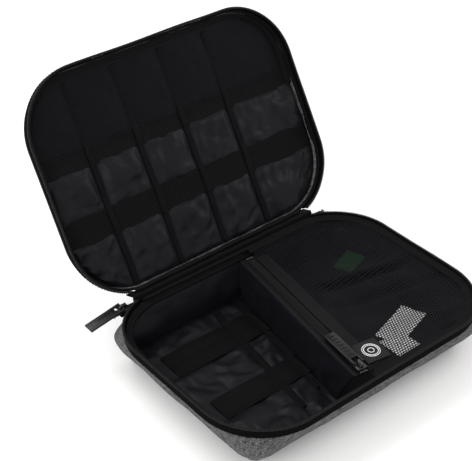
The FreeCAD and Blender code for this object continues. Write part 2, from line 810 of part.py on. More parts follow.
lid_lining_face = lid_walls()
lid_coil_top = half_gap + size("coil_rise")
rim_zip("lid", lid_coil_top, lid_tape_top, half_gap, lid_coil_top, lid_centre)


def lid_loops():
    """Mesh, elastics and strips sewn on the lid's lining."""
    face = lid_lining_face
    elastic_low = face - size("elastic_thick")
    strip_low = elastic_low - size("strip_thick")

    def band(name, near, width):
        """An elastic across the lid, its ends trimmed to the rounded lining."""
        body = new_body(name)
        far = near + width
        trim = lid_inset + size("lining_thick") + size("pocket_zip_margin")
        plate(body, RIM, trim, elastic_low, face, lid_centre)
        reach = 2 * size("rim_depth")
        block(body, "near_cut", (-reach, -near, as_dim(0.0)), (reach, reach, lid_top), cut=True)
        block(body, "far_cut", (-reach, -reach, as_dim(0.0)), (reach, -far, lid_top), cut=True)

    band("lid_loop_elastic", size("loop_elastic_low"), size("loop_elastic_width"))
    band("lid_mesh_hem", size("hem_elastic_low"), size("hem_elastic_width"))

    mesh = new_body("lid_mesh_panel")
    mesh_near = size("hem_elastic_low") + size("hem_elastic_width")
    plate(mesh, RIM, size("lid_mesh_inset"), face - size("mesh_thick"), face, lid_centre)
    reach = 2 * size("rim_depth")
    block(mesh, "hem_cut", (-reach, -mesh_near, as_dim(0.0)), (reach, reach, lid_top), cut=True)

    binding = new_body("lid_mesh_binding")
    inner = size("lid_mesh_inset")
    outer = inner - size("mesh_binding_width")
    ring(binding, RIM, outer, inner, face - size("elastic_thick"), face, lid_centre)
    block(binding, "hem_cut", (-reach, -mesh_near, as_dim(0.0)), (reach, reach, lid_top), cut=True)

    for index in range(4):
        strip = new_body(f"lid_divider_strip_{index + 1}")
        centre = size("lid_strip_first") + index * size("lid_strip_pitch")
        half = size("lid_strip_width") / 2
        low = (centre - half, -size("lid_strip_high"), strip_low)
        high = (centre + half, -size("lid_strip_low"), elastic_low)
        block(strip, "band", low, high)


lid_loops()
lid_turn = FreeCAD.Rotation(FreeCAD.Vector(-1, 0, 0), size("lid_angle").number)
for body in NODES[lid_start:]:
    place(body, (as_dim(0.0), hinge_y, closure), lid_turn)


# ---------------------------------------------------------------- check and write

doc.recompute()
for thing in doc.Objects:
    if "Invalid" in thing.State or "Error" in thing.State:
        raise RuntimeError(f"{thing.Label} failed: {thing.State}")
for body in NODES:
    if body.Shape.isNull() or not body.Shape.isValid():
        raise RuntimeError(f"{body.Label} has no valid shape")
os.makedirs("parts", exist_ok=True)
for body in NODES:
    body.Shape.exportStep(f"parts/{body.Label}.step")
print(f"{len(NODES)} nodes written")
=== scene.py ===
"""Looks of a soft clamshell cable organizer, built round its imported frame. Units are metres."""
import json
import logging
import math
from dataclasses import dataclass, field, replace
from enum import Enum
from functools import cached_property
from typing import Callable, Optional, Sequence

import bmesh
import bpy
from mathutils import Matrix, Vector, noise


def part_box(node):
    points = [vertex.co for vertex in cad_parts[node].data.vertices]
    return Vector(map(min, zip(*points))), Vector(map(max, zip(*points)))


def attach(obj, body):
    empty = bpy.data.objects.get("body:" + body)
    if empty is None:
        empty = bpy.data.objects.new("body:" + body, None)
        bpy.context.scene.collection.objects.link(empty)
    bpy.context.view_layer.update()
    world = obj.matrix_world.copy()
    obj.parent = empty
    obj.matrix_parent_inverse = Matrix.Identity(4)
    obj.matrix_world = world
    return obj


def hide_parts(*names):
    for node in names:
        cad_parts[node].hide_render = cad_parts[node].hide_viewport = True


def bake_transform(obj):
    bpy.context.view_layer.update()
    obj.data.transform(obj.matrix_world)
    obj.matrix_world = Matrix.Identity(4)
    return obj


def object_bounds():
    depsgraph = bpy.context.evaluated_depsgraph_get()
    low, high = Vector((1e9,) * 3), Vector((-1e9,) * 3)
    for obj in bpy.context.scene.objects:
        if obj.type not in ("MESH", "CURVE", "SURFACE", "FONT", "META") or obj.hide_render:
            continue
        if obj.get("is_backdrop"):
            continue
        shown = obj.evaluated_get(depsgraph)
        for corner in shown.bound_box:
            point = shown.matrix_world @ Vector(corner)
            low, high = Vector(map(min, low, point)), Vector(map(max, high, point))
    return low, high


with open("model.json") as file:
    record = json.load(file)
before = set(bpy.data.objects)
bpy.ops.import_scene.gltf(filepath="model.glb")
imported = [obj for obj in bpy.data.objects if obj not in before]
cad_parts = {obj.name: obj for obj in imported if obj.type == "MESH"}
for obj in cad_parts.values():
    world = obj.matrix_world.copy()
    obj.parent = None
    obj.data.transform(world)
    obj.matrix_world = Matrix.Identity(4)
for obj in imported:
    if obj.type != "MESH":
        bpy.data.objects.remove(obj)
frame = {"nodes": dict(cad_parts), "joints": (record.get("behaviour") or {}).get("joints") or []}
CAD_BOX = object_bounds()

LOG = logging.getLogger("pouch")
MM = 0.001
UV_NAME = "cloth"
Place = Callable[[float, float], Vector]


# ------------------------------------------------------------------ small tools


def clamp(value: float, low: float = 0.0, high: float = 1.0) -> float:
    """Hold a value between two limits."""
    return max(low, min(high, value))


def mix(first: float, second: float, share: float) -> float:
    """Blend two numbers."""
    return first + (second - first) * share


def ease(share: float) -> float:
    """Smooth step from 0 to 1."""
    share = clamp(share)
    return share * share * (3.0 - 2.0 * share)


def ripple(x: float, y: float, pitch: float, seed: float) -> float:
    """Seeded soft noise from about -1 to 1, with features of about that pitch."""
    return noise.noise(Vector((x / pitch, y / pitch, seed)))


def folds(x: float, y: float, pitch: float, seed: float) -> float:
    """Ridged noise: narrow crests with broad hollows between them, from 0 to 1."""
    return (1.0 - abs(ripple(x, y, pitch, seed)) * 2.2) ** 3 if abs(ripple(x, y, pitch,
                                                                           seed)) < 0.45 else 0.0


def corners_of(node: str, matrix: Matrix) -> tuple[Vector, Vector]:
    """Lowest and highest corner of a CAD node, measured in a frame of its own.

    Args:
        node: name of the CAD node.
        matrix: that frame's place in the object's frame.

    Returns:
        The two corners, in metres.
    """
    inverse = matrix.inverted()
    points = [inverse @ vertex.co for vertex in frame["nodes"][node].data.vertices]
    low = Vector((min(p.x for p in points), min(p.y for p in points), min(p.z for p in points)))
    high = Vector((max(p.x for p in points), max(p.y for p in points), max(p.z for p in points)))
    return low, high


def joint(name: str) -> dict:
    """The frame's joint of that name."""
    return next(item for item in frame["joints"] if item["name"] == name)


@dataclass(frozen=True)
class Outline:
    """A level rounded rectangle whose hinge side is its +Y side."""

    width: float
    depth: float
    corner: float
    centre: float = 0.0
    level: float = 0.0

    def inset(self, amount: float) -> "Outline":
        """The same outline drawn in all round."""
        corner = max(self.corner - amount, 0.2 * MM)
        return replace(self, width=self.width - 2 * amount, depth=self.depth - 2 * amount, corner=corner)

    def raised(self, level: float) -> "Outline":
        """The same outline at another level."""
        return replace(self, level=level)

    def blended(self, other: "Outline", share: float) -> "Outline":
        """An outline part of the way to another one."""
        names = ("width", "depth", "corner", "centre", "level")
        return Outline(*(mix(getattr(self, name), getattr(other, name), share) for name in names))

    @property
    def length(self) -> float:
        """Distance once round."""
        return 2 * (self.width + self.depth) - 8 * self.corner + 2 * math.pi * self.corner

    def legs(self) -> list[tuple[float, float]]:
        """Straight and following arc lengths, from the middle of the hinge side and clockwise."""
        across = self.width - 2 * self.corner
        along = self.depth - 2 * self.corner
        quarter = math.pi / 2 * self.corner
        return [(across / 2, quarter), (along, quarter), (across, quarter), (along, quarter), (across / 2,
                                                                                               0.0)]

    def on_leg(self, index: int, straight: float, turned: float) -> tuple[Vector, Vector]:
        """Point and outward normal on one leg, that far along its straight and its arc."""
        legs = self.legs()
        point = Vector((0.0, self.centre + self.depth / 2, self.level))
        heading = Vector((1.0, 0.0, 0.0))
        outward = Vector((0.0, 1.0, 0.0))
        for leg, _ in legs[:index]:
            centre = point + heading * leg - outward * self.corner
            heading, outward = -outward, heading
            point = centre + outward * self.corner
        spot = point + heading * straight
        if turned <= 0.0:
            return spot, outward
        angle = turned / self.corner
        centre = spot - outward * self.corner
        normal = outward * math.cos(angle) + heading * math.sin(angle)
        return centre + normal * self.corner, normal

    def walk(self, distance: float) -> tuple[Vector, Vector]:
        """Point and outward normal that far round, clockwise from the middle of the hinge side."""
        left = distance % self.length
        for index, (straight, arc) in enumerate(self.legs()):
            if left <= straight or index == 4:
                return self.on_leg(index, min(left, straight), 0.0)
            left -= straight
            if left <= arc:
                return self.on_leg(index, straight, left)
            left -= arc
        return self.on_leg(4, 0.0, 0.0)

    def matched(self, share: float) -> tuple[Vector, Vector]:
        """Point and normal at a share of the way round that pairs corners with corners."""
        spot = clamp(share) * 16.0
        spans = ((0, 0, 2.0), (0, 1, 2.0), (1, 0, 2.0), (1, 1, 2.0), (2, 0, 2.0), (2, 1, 2.0), (3, 0, 1.0),
                 (3, 1, 2.0), (4, 0, 1.0))
        legs = self.legs()
        for leg, arc, span in spans:
            if spot <= span or leg == 4:
                part = clamp(spot / span)
                straight = legs[leg][0]
                return self.on_leg(leg, straight if arc else straight * part,
                                   legs[leg][1] * part if arc else 0.0)
            spot -= span
        return self.on_leg(4, 0.0, 0.0)

    def fit(self, x: float, y: float) -> Vector:
        """Move a point of the plain rectangle so that the square corners become round."""
        inner_x = self.width / 2 - self.corner
        inner_y = self.depth / 2 - self.corner
        over_x = abs(x) - inner_x
        over_y = abs(y) - inner_y
        if over_x > 0 and over_y > 0:
            part_x = over_x / self.corner
            part_y = over_y / self.corner
            x = math.copysign(inner_x + over_x * math.sqrt(1 - part_y * part_y / 2), x)
            y = math.copysign(inner_y + over_y * math.sqrt(1 - part_x * part_x / 2), y)
        return Vector((x, y + self.centre, self.level))


def path_matrix(point: Vector, normal: Vector) -> Matrix:
    """Frame at a point of a level path: X along it, Y outwards, Z up."""
    along = Vector((normal.y, -normal.x, 0.0))
    turned = Matrix((along, normal, Vector((0.0, 0.0, 1.0)))).transposed().to_4x4()
    return Matrix.Translation(point) @ turned


# ------------------------------------------------------------------ node groups and finishes


class Graph:
    """A node tree with short ways to add nodes and sums."""

    def __init__(self, tree: bpy.types.NodeTree) -> None:
        """Wrap a tree."""
        self.tree = tree

    def add(self, kind: str, **settings: object) -> bpy.types.Node:
        """Add a node and set its properties."""
        node = self.tree.nodes.new(kind)
        for name, value in settings.items():
            setattr(node, name, value)
        return node

    def feed(self, socket: bpy.types.NodeSocket, value: object) -> None:
        """Link a socket, or set its plain value."""
        if isinstance(value, bpy.types.NodeSocket):
            self.tree.links.new(value, socket)
        else:
            socket.default_value = value

    def math(self, operation: str, *values: object) -> bpy.types.NodeSocket:
        """One sum on sockets or numbers."""
        node = self.add("ShaderNodeMath", operation=operation)
        for socket, value in zip(node.inputs, values):
            self.feed(socket, value)
        return node.outputs[0]

    def noise(self, vector: object, scale: object, detail: float = 2.0) -> bpy.types.NodeSocket:
        """Noise from 0 to 1 on a vector."""
        node = self.add("ShaderNodeTexNoise")
        self.feed(node.inputs["Vector"], vector)
        self.feed(node.inputs["Scale"], scale)
        node.inputs["Detail"].default_value = detail
        return node.outputs["Fac"]

    def stretch(self, vector: object, factors: tuple[float, float, float]) -> bpy.types.NodeSocket:
        """Scale a vector along its axes."""
        node = self.add("ShaderNodeVectorMath", operation="MULTIPLY")
        self.feed(node.inputs[0], vector)
        node.inputs[1].default_value = factors
        return node.outputs[0]

    def split(self, vector: object) -> tuple[bpy.types.NodeSocket, bpy.types.NodeSocket]:
        """The first two parts of a vector."""
        node = self.add("ShaderNodeSeparateXYZ")
        self.feed(node.inputs[0], vector)
        return node.outputs[0], node.outputs[1]


def new_group(name: str, takes: Sequence[str], gives: Sequence[str]) -> tuple[Graph, dict, dict]:
    """A shader node group with a Vector input, number inputs and number outputs.

    Args:
        name: the group's name.
        takes: names of its number inputs.
        gives: names of its number outputs.

    Returns:
        The graph, its input sockets and its output sockets, by name.
    """
    tree = bpy.data.node_groups.new(name, "ShaderNodeTree")
    tree.interface.new_socket("Vector", in_out="INPUT", socket_type="NodeSocketVector")
    for label in takes:
        tree.interface.new_socket(label, in_out="INPUT", socket_type="NodeSocketFloat")
    for label in gives:
        tree.interface.new_socket(label, in_out="OUTPUT", socket_type="NodeSocketFloat")
    graph = Graph(tree)
    entry = graph.add("NodeGroupInput")
    leave = graph.add("NodeGroupOutput")
    return graph, dict(entry.outputs.items()), dict(leave.inputs.items())


def weave_group() -> bpy.types.NodeTree:
    """Plain weave: threads that pass over and under each other."""
    graph, takes, gives = new_group("plain_weave", ("Pitch",), ("Mask", "Height"))
    u, v = graph.split(takes["Vector"])
    wave_u = graph.math("SINE", graph.math("MULTIPLY", graph.math("DIVIDE", u, takes["Pitch"]), math.pi))
    wave_v = graph.math("SINE", graph.math("MULTIPLY", graph.math("DIVIDE", v, takes["Pitch"]), math.pi))
    over = graph.math("MULTIPLY_ADD", graph.math("MULTIPLY", wave_u, wave_v), 0.5, 0.5)
    slub = graph.noise(takes["Vector"], 900.0)
    height = graph.math("MULTIPLY_ADD", slub, 0.4, graph.math("MULTIPLY", over, 0.6))
    graph.feed(gives["Mask"], over)
    graph.feed(gives["Height"], height)
    return graph.tree


def melange_group() -> bpy.types.NodeTree:
    """Heathered yarn: light and dark fibres laid in short crossing streaks."""
    graph, takes, gives = new_group("melange_yarn", ("Contrast",), ("Mask", "Height"))
    warp = graph.noise(graph.stretch(takes["Vector"], (1500.0, 240.0, 1.0)), 1.0, 3.0)
    weft = graph.noise(graph.stretch(takes["Vector"], (260.0, 1700.0, 1.0)), 1.0, 3.0)
    patch = graph.noise(takes["Vector"], 160.0, 3.0)
    both = graph.math("ADD", warp, weft)
    spread = graph.math("MULTIPLY", graph.math("SUBTRACT", both, 1.0), takes["Contrast"])
    cloudy = graph.math("MULTIPLY_ADD", graph.math("SUBTRACT", patch, 0.5), 0.7, spread)
    mask = graph.add("ShaderNodeClamp")
    graph.feed(mask.inputs[0], graph.math("ADD", cloudy, 0.5))
    graph.feed(gives["Mask"], mask.outputs[0])
    graph.feed(gives["Height"], graph.math("MULTIPLY", both, 0.5))
    return graph.tree


def rib_group() -> bpy.types.NodeTree:
    """Ribs along the first direction with fine picks across them."""
    graph, takes, gives = new_group("ribbed_band", ("Pitch",), ("Mask", "Height"))
    u, v = graph.split(takes["Vector"])
    rib = graph.math("SINE", graph.math("MULTIPLY", graph.math("DIVIDE", v, takes["Pitch"]), 2 * math.pi))
    picks = graph.math("MULTIPLY", graph.math("DIVIDE", u, takes["Pitch"]), 3 * math.pi)
    pick = graph.math("SINE", graph.math("ADD", picks, graph.math("MULTIPLY", rib, 1.2)))
    height = graph.math("MULTIPLY_ADD", pick, 0.22, graph.math("MULTIPLY_ADD", rib, 0.3, 0.5))
    graph.feed(gives["Mask"], graph.math("MULTIPLY_ADD", rib, 0.5, 0.5))
    graph.feed(gives["Height"], height)
    return graph.tree


def knit_group() -> bpy.types.NodeTree:
    """Net of small round holes in staggered rows. Mask is 1 on the yarn and 0 in a hole."""
    graph, takes, gives = new_group("knitted_net", ("Pitch", "Hole"), ("Mask", "Height"))
    u, v = graph.split(takes["Vector"])
    along = graph.math("DIVIDE", u, takes["Pitch"])
    across = graph.math("DIVIDE", v, graph.math("MULTIPLY", takes["Pitch"], 0.866))
    row = graph.math("FLOOR", across)
    odd = graph.math("MULTIPLY", graph.math("PINGPONG", row, 1.0), 0.5)
    cell_u = graph.math("SUBTRACT", graph.math("FRACT", graph.math("ADD", along, odd)), 0.5)
    cell_v = graph.math("SUBTRACT", graph.math("FRACT", across), 0.5)
    squares = graph.math("ADD", graph.math("POWER", cell_u, 2.0), graph.math("POWER", cell_v, 2.0))
    reach = graph.math("SQRT", squares)
    inside = graph.math("LESS_THAN", reach, takes["Hole"])
    graph.feed(gives["Mask"], graph.math("SUBTRACT", 1.0, inside))
    graph.feed(gives["Height"], reach)
    return graph.tree


def wear_group() -> bpy.types.NodeTree:
    """Uneven handling: broad cloudy patches with a little lint."""
    graph, takes, gives = new_group("handling", ("Amount",), ("Mask", "Height"))
    cloud = graph.noise(takes["Vector"], 38.0, 4.0)
    lint = graph.noise(takes["Vector"], 700.0, 2.0)
    speck = graph.math("MULTIPLY", graph.math("GREATER_THAN", lint, 0.73), 0.6)
    both = graph.math("ADD", graph.math("SUBTRACT", cloud, 0.5), speck)
    graph.feed(gives["Mask"], graph.math("MULTIPLY", both, takes["Amount"]))
    graph.feed(gives["Height"], cloud)
    return graph.tree


class Pattern(Enum):
    """The surface patterns that a finish can have."""

    WEAVE = "plain_weave"
    MELANGE = "melange_yarn"
    RIBS = "ribbed_band"
    NET = "knitted_net"
    PLAIN = "handling"


GROUPS = {
    Pattern.WEAVE: weave_group(),
    Pattern.MELANGE: melange_group(),
    Pattern.RIBS: rib_group(),
    Pattern.NET: knit_group(),
    Pattern.PLAIN: wear_group(),
}


@dataclass(frozen=True)
class Finish:
    """One finish: two colours with a pattern between them, gloss and relief."""

    slot: str
    dark: tuple[float, float, float]
    light: tuple[float, float, float]
    pattern: Pattern
    pitch: float
    roughness: float
    relief: float
    sheen: float = 0.0
    metallic: float = 0.0
    wear: float = 0.25
    specular: float = 0.5
    hole: float = 0.0
    object_space: bool = False

    def material(self) -> bpy.types.Material:
        """The material, built once and shared."""
        name = f"{self.slot}_{self.pattern.value}"
        found = bpy.data.materials.get(name)
        if found:
            return found
        material = bpy.data.materials.new(name)
        material.use_nodes = True
        graph = Graph(material.node_tree)
        shader = next(node for node in material.node_tree.nodes if node.type == "BSDF_PRINCIPLED")
        coordinates = graph.add("ShaderNodeTexCoord")
        vector = coordinates.outputs["Object" if self.object_space else "UV"]
        pattern = graph.add("ShaderNodeGroup", node_tree=GROUPS[self.pattern])
        graph.feed(pattern.inputs["Vector"], vector)
        settings = {"Pitch": self.pitch, "Contrast": self.pitch, "Amount": self.wear, "Hole": self.hole}
        for socket in pattern.inputs:
            if socket.name in settings:
                socket.default_value = settings[socket.name]
        worn = graph.add("ShaderNodeGroup", node_tree=GROUPS[Pattern.PLAIN])
        graph.feed(worn.inputs["Vector"], vector)
        worn.inputs["Amount"].default_value = self.wear
        blend = graph.add("ShaderNodeMix", data_type="RGBA")
        share = pattern.outputs["Mask"]
        if self.pattern in (Pattern.NET, Pattern.PLAIN):
            share = graph.math("ADD", worn.outputs["Mask"], 0.4)
        else:
            share = graph.math("ADD", share, graph.math("MULTIPLY", worn.outputs["Mask"], 0.8))
        graph.feed(blend.inputs["Factor"], share)
        blend.inputs[6].default_value = (*self.dark, 1.0)
        blend.inputs[7].default_value = (*self.light, 1.0)
        graph.feed(shader.inputs["Base Color"], blend.outputs[2])
        rough = graph.math("MULTIPLY_ADD", worn.outputs["Mask"], 0.3, self.roughness)
        graph.feed(shader.inputs["Roughness"], rough)
        shader.inputs["Metallic"].default_value = self.metallic
        shader.inputs["Specular IOR Level"].default_value = self.specular
        shader.inputs["Sheen Weight"].default_value = self.sheen
        shader.inputs["Sheen Roughness"].default_value = 0.4
        if self.pattern is Pattern.NET:
            graph.feed(shader.inputs["Alpha"], pattern.outputs["Mask"])
        bump = graph.add("ShaderNodeBump")
        bump.inputs["Strength"].default_value = 1.0
        bump.inputs["Distance"].default_value = self.relief
        graph.feed(bump.inputs["Height"], pattern.outputs["Height"])
        graph.feed(shader.inputs["Normal"], bump.outputs["Normal"])
        return material


MELANGE = Finish("melange_fabric", (0.016, 0.016, 0.017), (0.150, 0.150, 0.149), Pattern.MELANGE, 2.7, 0.95,
                 0.12 * MM,
                 0.02, specular=0.06)
TAPE = Finish("zip_tape", (0.0012, 0.0012, 0.0013), (0.0040, 0.0040, 0.0043), Pattern.WEAVE, 0.55 * MM, 0.9,
              0.08 * MM, specular=0.03)
COIL = Finish("zip_coil", (0.003, 0.003, 0.003), (0.014, 0.0135, 0.0128), Pattern.PLAIN, 1.0, 0.35,
              0.02 * MM,
              specular=0.12, object_space=True)
BINDING = Finish("seam_binding", (0.0014, 0.0014, 0.0016), (0.0056, 0.0056, 0.0062), Pattern.WEAVE, 0.5 * MM,
                 0.75,
                 0.06 * MM, specular=0.07)
FOAM = Finish("foam", (0.05, 0.05, 0.05), (0.11, 0.11, 0.11), Pattern.PLAIN, 1.0, 0.9, 0.2 * MM,
              object_space=True)
LINING = Finish("lining_nylon", (0.0024, 0.0024, 0.0036), (0.0078, 0.0077, 0.0106), Pattern.WEAVE, 0.36 * MM,
                0.46,
                0.02 * MM, 0.01, specular=0.11)
ELASTIC = Finish("ribbed_elastic", (0.0014, 0.0014, 0.0017), (0.0068, 0.0068, 0.0078), Pattern.RIBS,
                 1.7 * MM, 0.75,
                 0.40 * MM, specular=0.06)
WEBBING = Finish("strip_webbing", (0.0010, 0.0010, 0.0012), (0.0042, 0.0042, 0.0048), Pattern.RIBS, 1.1 * MM,
                 0.75,
                 0.25 * MM, 0.01, specular=0.08)
NET = Finish("black_mesh", (0.0026, 0.0026, 0.0035), (0.0080, 0.0080, 0.0104), Pattern.NET, 2.3 * MM, 0.5,
             0.3 * MM,
             0.01, specular=0.05, hole=0.35)
POCKET_TAPE = Finish("pocket_tape", (0.0014, 0.0014, 0.0018), (0.0050, 0.0050, 0.0060), Pattern.WEAVE,
                     0.5 * MM, 0.6,
                     0.06 * MM, specular=0.10)
ENAMEL = Finish("slider_metal", (0.006, 0.006, 0.006), (0.014, 0.014, 0.014), Pattern.PLAIN, 1.0, 0.2,
                0.02 * MM,
                specular=0.6, object_space=True)
PULLER = Finish("puller_polymer", (0.004, 0.004, 0.004), (0.009, 0.009, 0.009), Pattern.PLAIN, 1.0, 0.30,
                0.03 * MM,
                specular=0.22, object_space=True)
STEEL = Finish("bright_metal", (0.45, 0.45, 0.45), (0.75, 0.75, 0.74), Pattern.PLAIN, 1.0, 0.25, 0.02 * MM,
               metallic=1.0, object_space=True)
SATIN = Finish("white_label", (0.80, 0.80, 0.79), (0.92, 0.92, 0.92), Pattern.WEAVE, 0.3 * MM, 0.4,
               0.03 * MM)
WOVEN = Finish("woven_label_cloth", (0.004, 0.004, 0.004), (0.012, 0.012, 0.013), Pattern.WEAVE, 0.4 * MM,
               0.6,
               0.05 * MM, specular=0.15)
GREEN = Finish("green_tag", (0.004, 0.028, 0.006), (0.012, 0.085, 0.016), Pattern.WEAVE, 0.4 * MM, 0.6,
               0.05 * MM,
               specular=0.2)


# ------------------------------------------------------------------ making pieces


@dataclass
class Made:
    """Options of one finished piece."""

    name: str
    finish: Finish
    body: Optional[str]
    stands_for: Sequence[str] = ()
    matrix: Optional[Matrix] = None
    thick: float = 0.0
    offset: float = 0.0
    subdivide: int = 0
    bevel: float = 0.0
    flat_shaded: bool = False

    def add(self, bm: bmesh.types.BMesh) -> bpy.types.Object:
        """Turn a bmesh into a finished piece that rides on its body.

        Args:
            bm: the mesh, in the piece's own frame; it is freed.

        Returns:
            The new object.
        """
        mesh = bpy.data.meshes.new(self.name)
        bm.to_mesh(mesh)
        bm.free()
        if self.matrix is not None:
            mesh.transform(self.matrix)
        mesh.materials.append(self.finish.material())
        for polygon in mesh.polygons:
            polygon.use_smooth = not self.flat_shaded
        piece = bpy.data.objects.new(self.name, mesh)
        bpy.context.scene.collection.objects.link(piece)
        if self.thick:
            solid = piece.modifiers.new("thickness", "SOLIDIFY")
            solid.thickness = self.thick
            solid.offset = self.offset
        if self.bevel:
            rounding = piece.modifiers.new("rounding", "BEVEL")
            rounding.width = self.bevel
            rounding.segments = 2
            rounding.limit_method = "ANGLE"
        if self.subdivide:
            smooth = piece.modifiers.new("smooth", "SUBSURF")
            smooth.levels = self.subdivide
            smooth.render_levels = self.subdivide
        if self.body:
            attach(piece, self.body)
        if self.stands_for:
            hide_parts(*self.stands_for)
        LOG.info("%s: %d faces", self.name, len(mesh.polygons))
        return piece


def cut_cloth(piece: bpy.types.Object, flat: tuple[float, float]) -> None:
    """Log a piece whose flat cut is narrower than a sheet may be, as a tape; nothing is done with wider
    sheets.

    Args:
        piece: the sheet.
        flat: flat width and length, in metres.
    """
    if min(flat) < 10 * MM:
        LOG.info("%s: tape %.1f mm wide", piece.name, min(flat) / MM)
        return


def cloth_grid(columns: int, rows: int, flat: tuple[float, float], place: Place, flip: bool = False,
               closed: bool = False) -> bmesh.types.BMesh:
    """A grid of cloth laid where a function says, with its flat size as its UV map.

    Args:
        columns: cells along the first direction.
        rows: cells along the second direction.
        flat: flat width and length, in metres.
        place: gives the point for two shares from 0 to 1.
        flip: turn the faces to the other side.
        closed: join the two ends of the first direction.

    Returns:
        The new bmesh.
    """
    bm = bmesh.new()
    bmesh.ops.create_grid(bm, x_segments=columns, y_segments=rows, size=0.5)
    layer = bm.loops.layers.uv.new(UV_NAME)
    for face in bm.faces:
        for loop in face.loops:
            share = loop.vert.co
            loop[layer].uv = ((share.x + 0.5) * flat[0], (share.y + 0.5) * flat[1])
    for vertex in bm.verts:
        vertex.co = place(vertex.co.x + 0.5, vertex.co.y + 0.5)
    if closed:
        bmesh.ops.remove_doubles(bm, verts=bm.verts[:], dist=1e-6)
    if flip:
        bmesh.ops.reverse_faces(bm, faces=bm.faces[:])
    return bm


def box_piece(bm: bmesh.types.BMesh, low: Vector, high: Vector, edge: float, segments: int = 2) -> None:
    """Add a box with rounded edges to a bmesh."""
    size = high - low
    made = bmesh.ops.create_cube(bm, size=1.0)["verts"]
    bmesh.ops.scale(bm, vec=size, verts=made)
    bmesh.ops.translate(bm, vec=(low + high) / 2, verts=made)
    edges = list({item for vertex in made for item in vertex.link_edges})
    bmesh.ops.bevel(bm, geom=edges, offset=edge, segments=segments, profile=0.5, affect="EDGES", material=-1)


def repeat(unit: bmesh.types.BMesh, places: Sequence[Matrix]) -> bmesh.types.BMesh:
    """Copy a small unit to many places in one bmesh.

    Args:
        unit: the unit; it is freed.
        places: where each copy goes.

    Returns:
        The bmesh of all copies.
    """
    source = bpy.data.meshes.new("unit")
    unit.to_mesh(source)
    unit.free()
    bm = bmesh.new()
    for matrix in places:
        copy = source.copy()
        copy.transform(matrix)
        bm.from_mesh(copy)
        bpy.data.meshes.remove(copy)
    bpy.data.meshes.remove(source)
    return bm


def stitch_unit(length: float, radius: float) -> bmesh.types.BMesh:
    """One stitch: a small rounded grain along X."""
    bm = bmesh.new()
    bmesh.ops.create_icosphere(bm, subdivisions=1, radius=1.0)
    bmesh.ops.scale(bm, vec=(length / 2, radius, radius), verts=bm.verts[:])
    return bm


def soften(mesh: bpy.types.Mesh, times: int) -> None:
    """Smooth small creases out of a mesh, away from its edges."""
    bm = bmesh.new()
    bm.from_mesh(mesh)
    inner = [vertex for vertex in bm.verts if not vertex.is_boundary]
    for _ in range(times):
        bmesh.ops.smooth_vert(bm, verts=inner, factor=0.5, use_axis_x=False, use_axis_y=False,
                              use_axis_z=True)
    bm.to_mesh(mesh)
    bm.free()


def settle(piece: bpy.types.Object, sewn: Callable[[Vector], float], growth: float, cap: float,
           pressure: float = 0.0, frames: int = 18) -> None:
    """Let a flat sheet wrinkle by cloth simulation, held where it is sewn down.

    Args:
        piece: the sheet, flat and with no modifiers.
        sewn: weight from 0, free, to 1, held, at a rest point.
        growth: how much larger the cloth is than its frame.
        cap: furthest that a point may move.
        pressure: push along the normals.
        frames: steps of the simulation.
    """
    mesh = piece.data
    start = [vertex.co.copy() for vertex in mesh.vertices]
    group = piece.vertex_groups.new(name="sewn")
    for index, point in enumerate(start):
        group.add([index], sewn(point), "REPLACE")
    cloth = piece.modifiers.new("cloth", "CLOTH")
    settings = cloth.settings
    settings.quality = 6
    settings.mass = 0.12
    settings.tension_stiffness = 12.0
    settings.compression_stiffness = 12.0
    settings.shear_stiffness = 4.0
    settings.bending_stiffness = 0.04
    settings.vertex_group_mass = "sewn"
    settings.shrink_min = -growth
    settings.effector_weights.gravity = 0.0
    if pressure:
        settings.use_pressure = True
        settings.uniform_pressure_force = pressure
    cloth.collision_settings.use_self_collision = False
    cloth.point_cache.frame_start = 1
    cloth.point_cache.frame_end = frames
    scene = bpy.context.scene
    for step in range(1, frames + 1):
        scene.frame_set(step)
    evaluated = piece.evaluated_get(bpy.context.evaluated_depsgraph_get())
    moved = [vertex.co.copy() for vertex in evaluated.data.vertices]
    piece.modifiers.remove(cloth)
    for vertex, before, after in zip(mesh.vertices, start, moved):
        shift = after - before
        if shift.length > cap:
            shift *= cap / shift.length
        vertex.co = before + shift
    soften(mesh, 1)
    piece.vertex_groups.remove(group)
    scene.frame_set(1)


# ------------------------------------------------------------------ the object's own frame


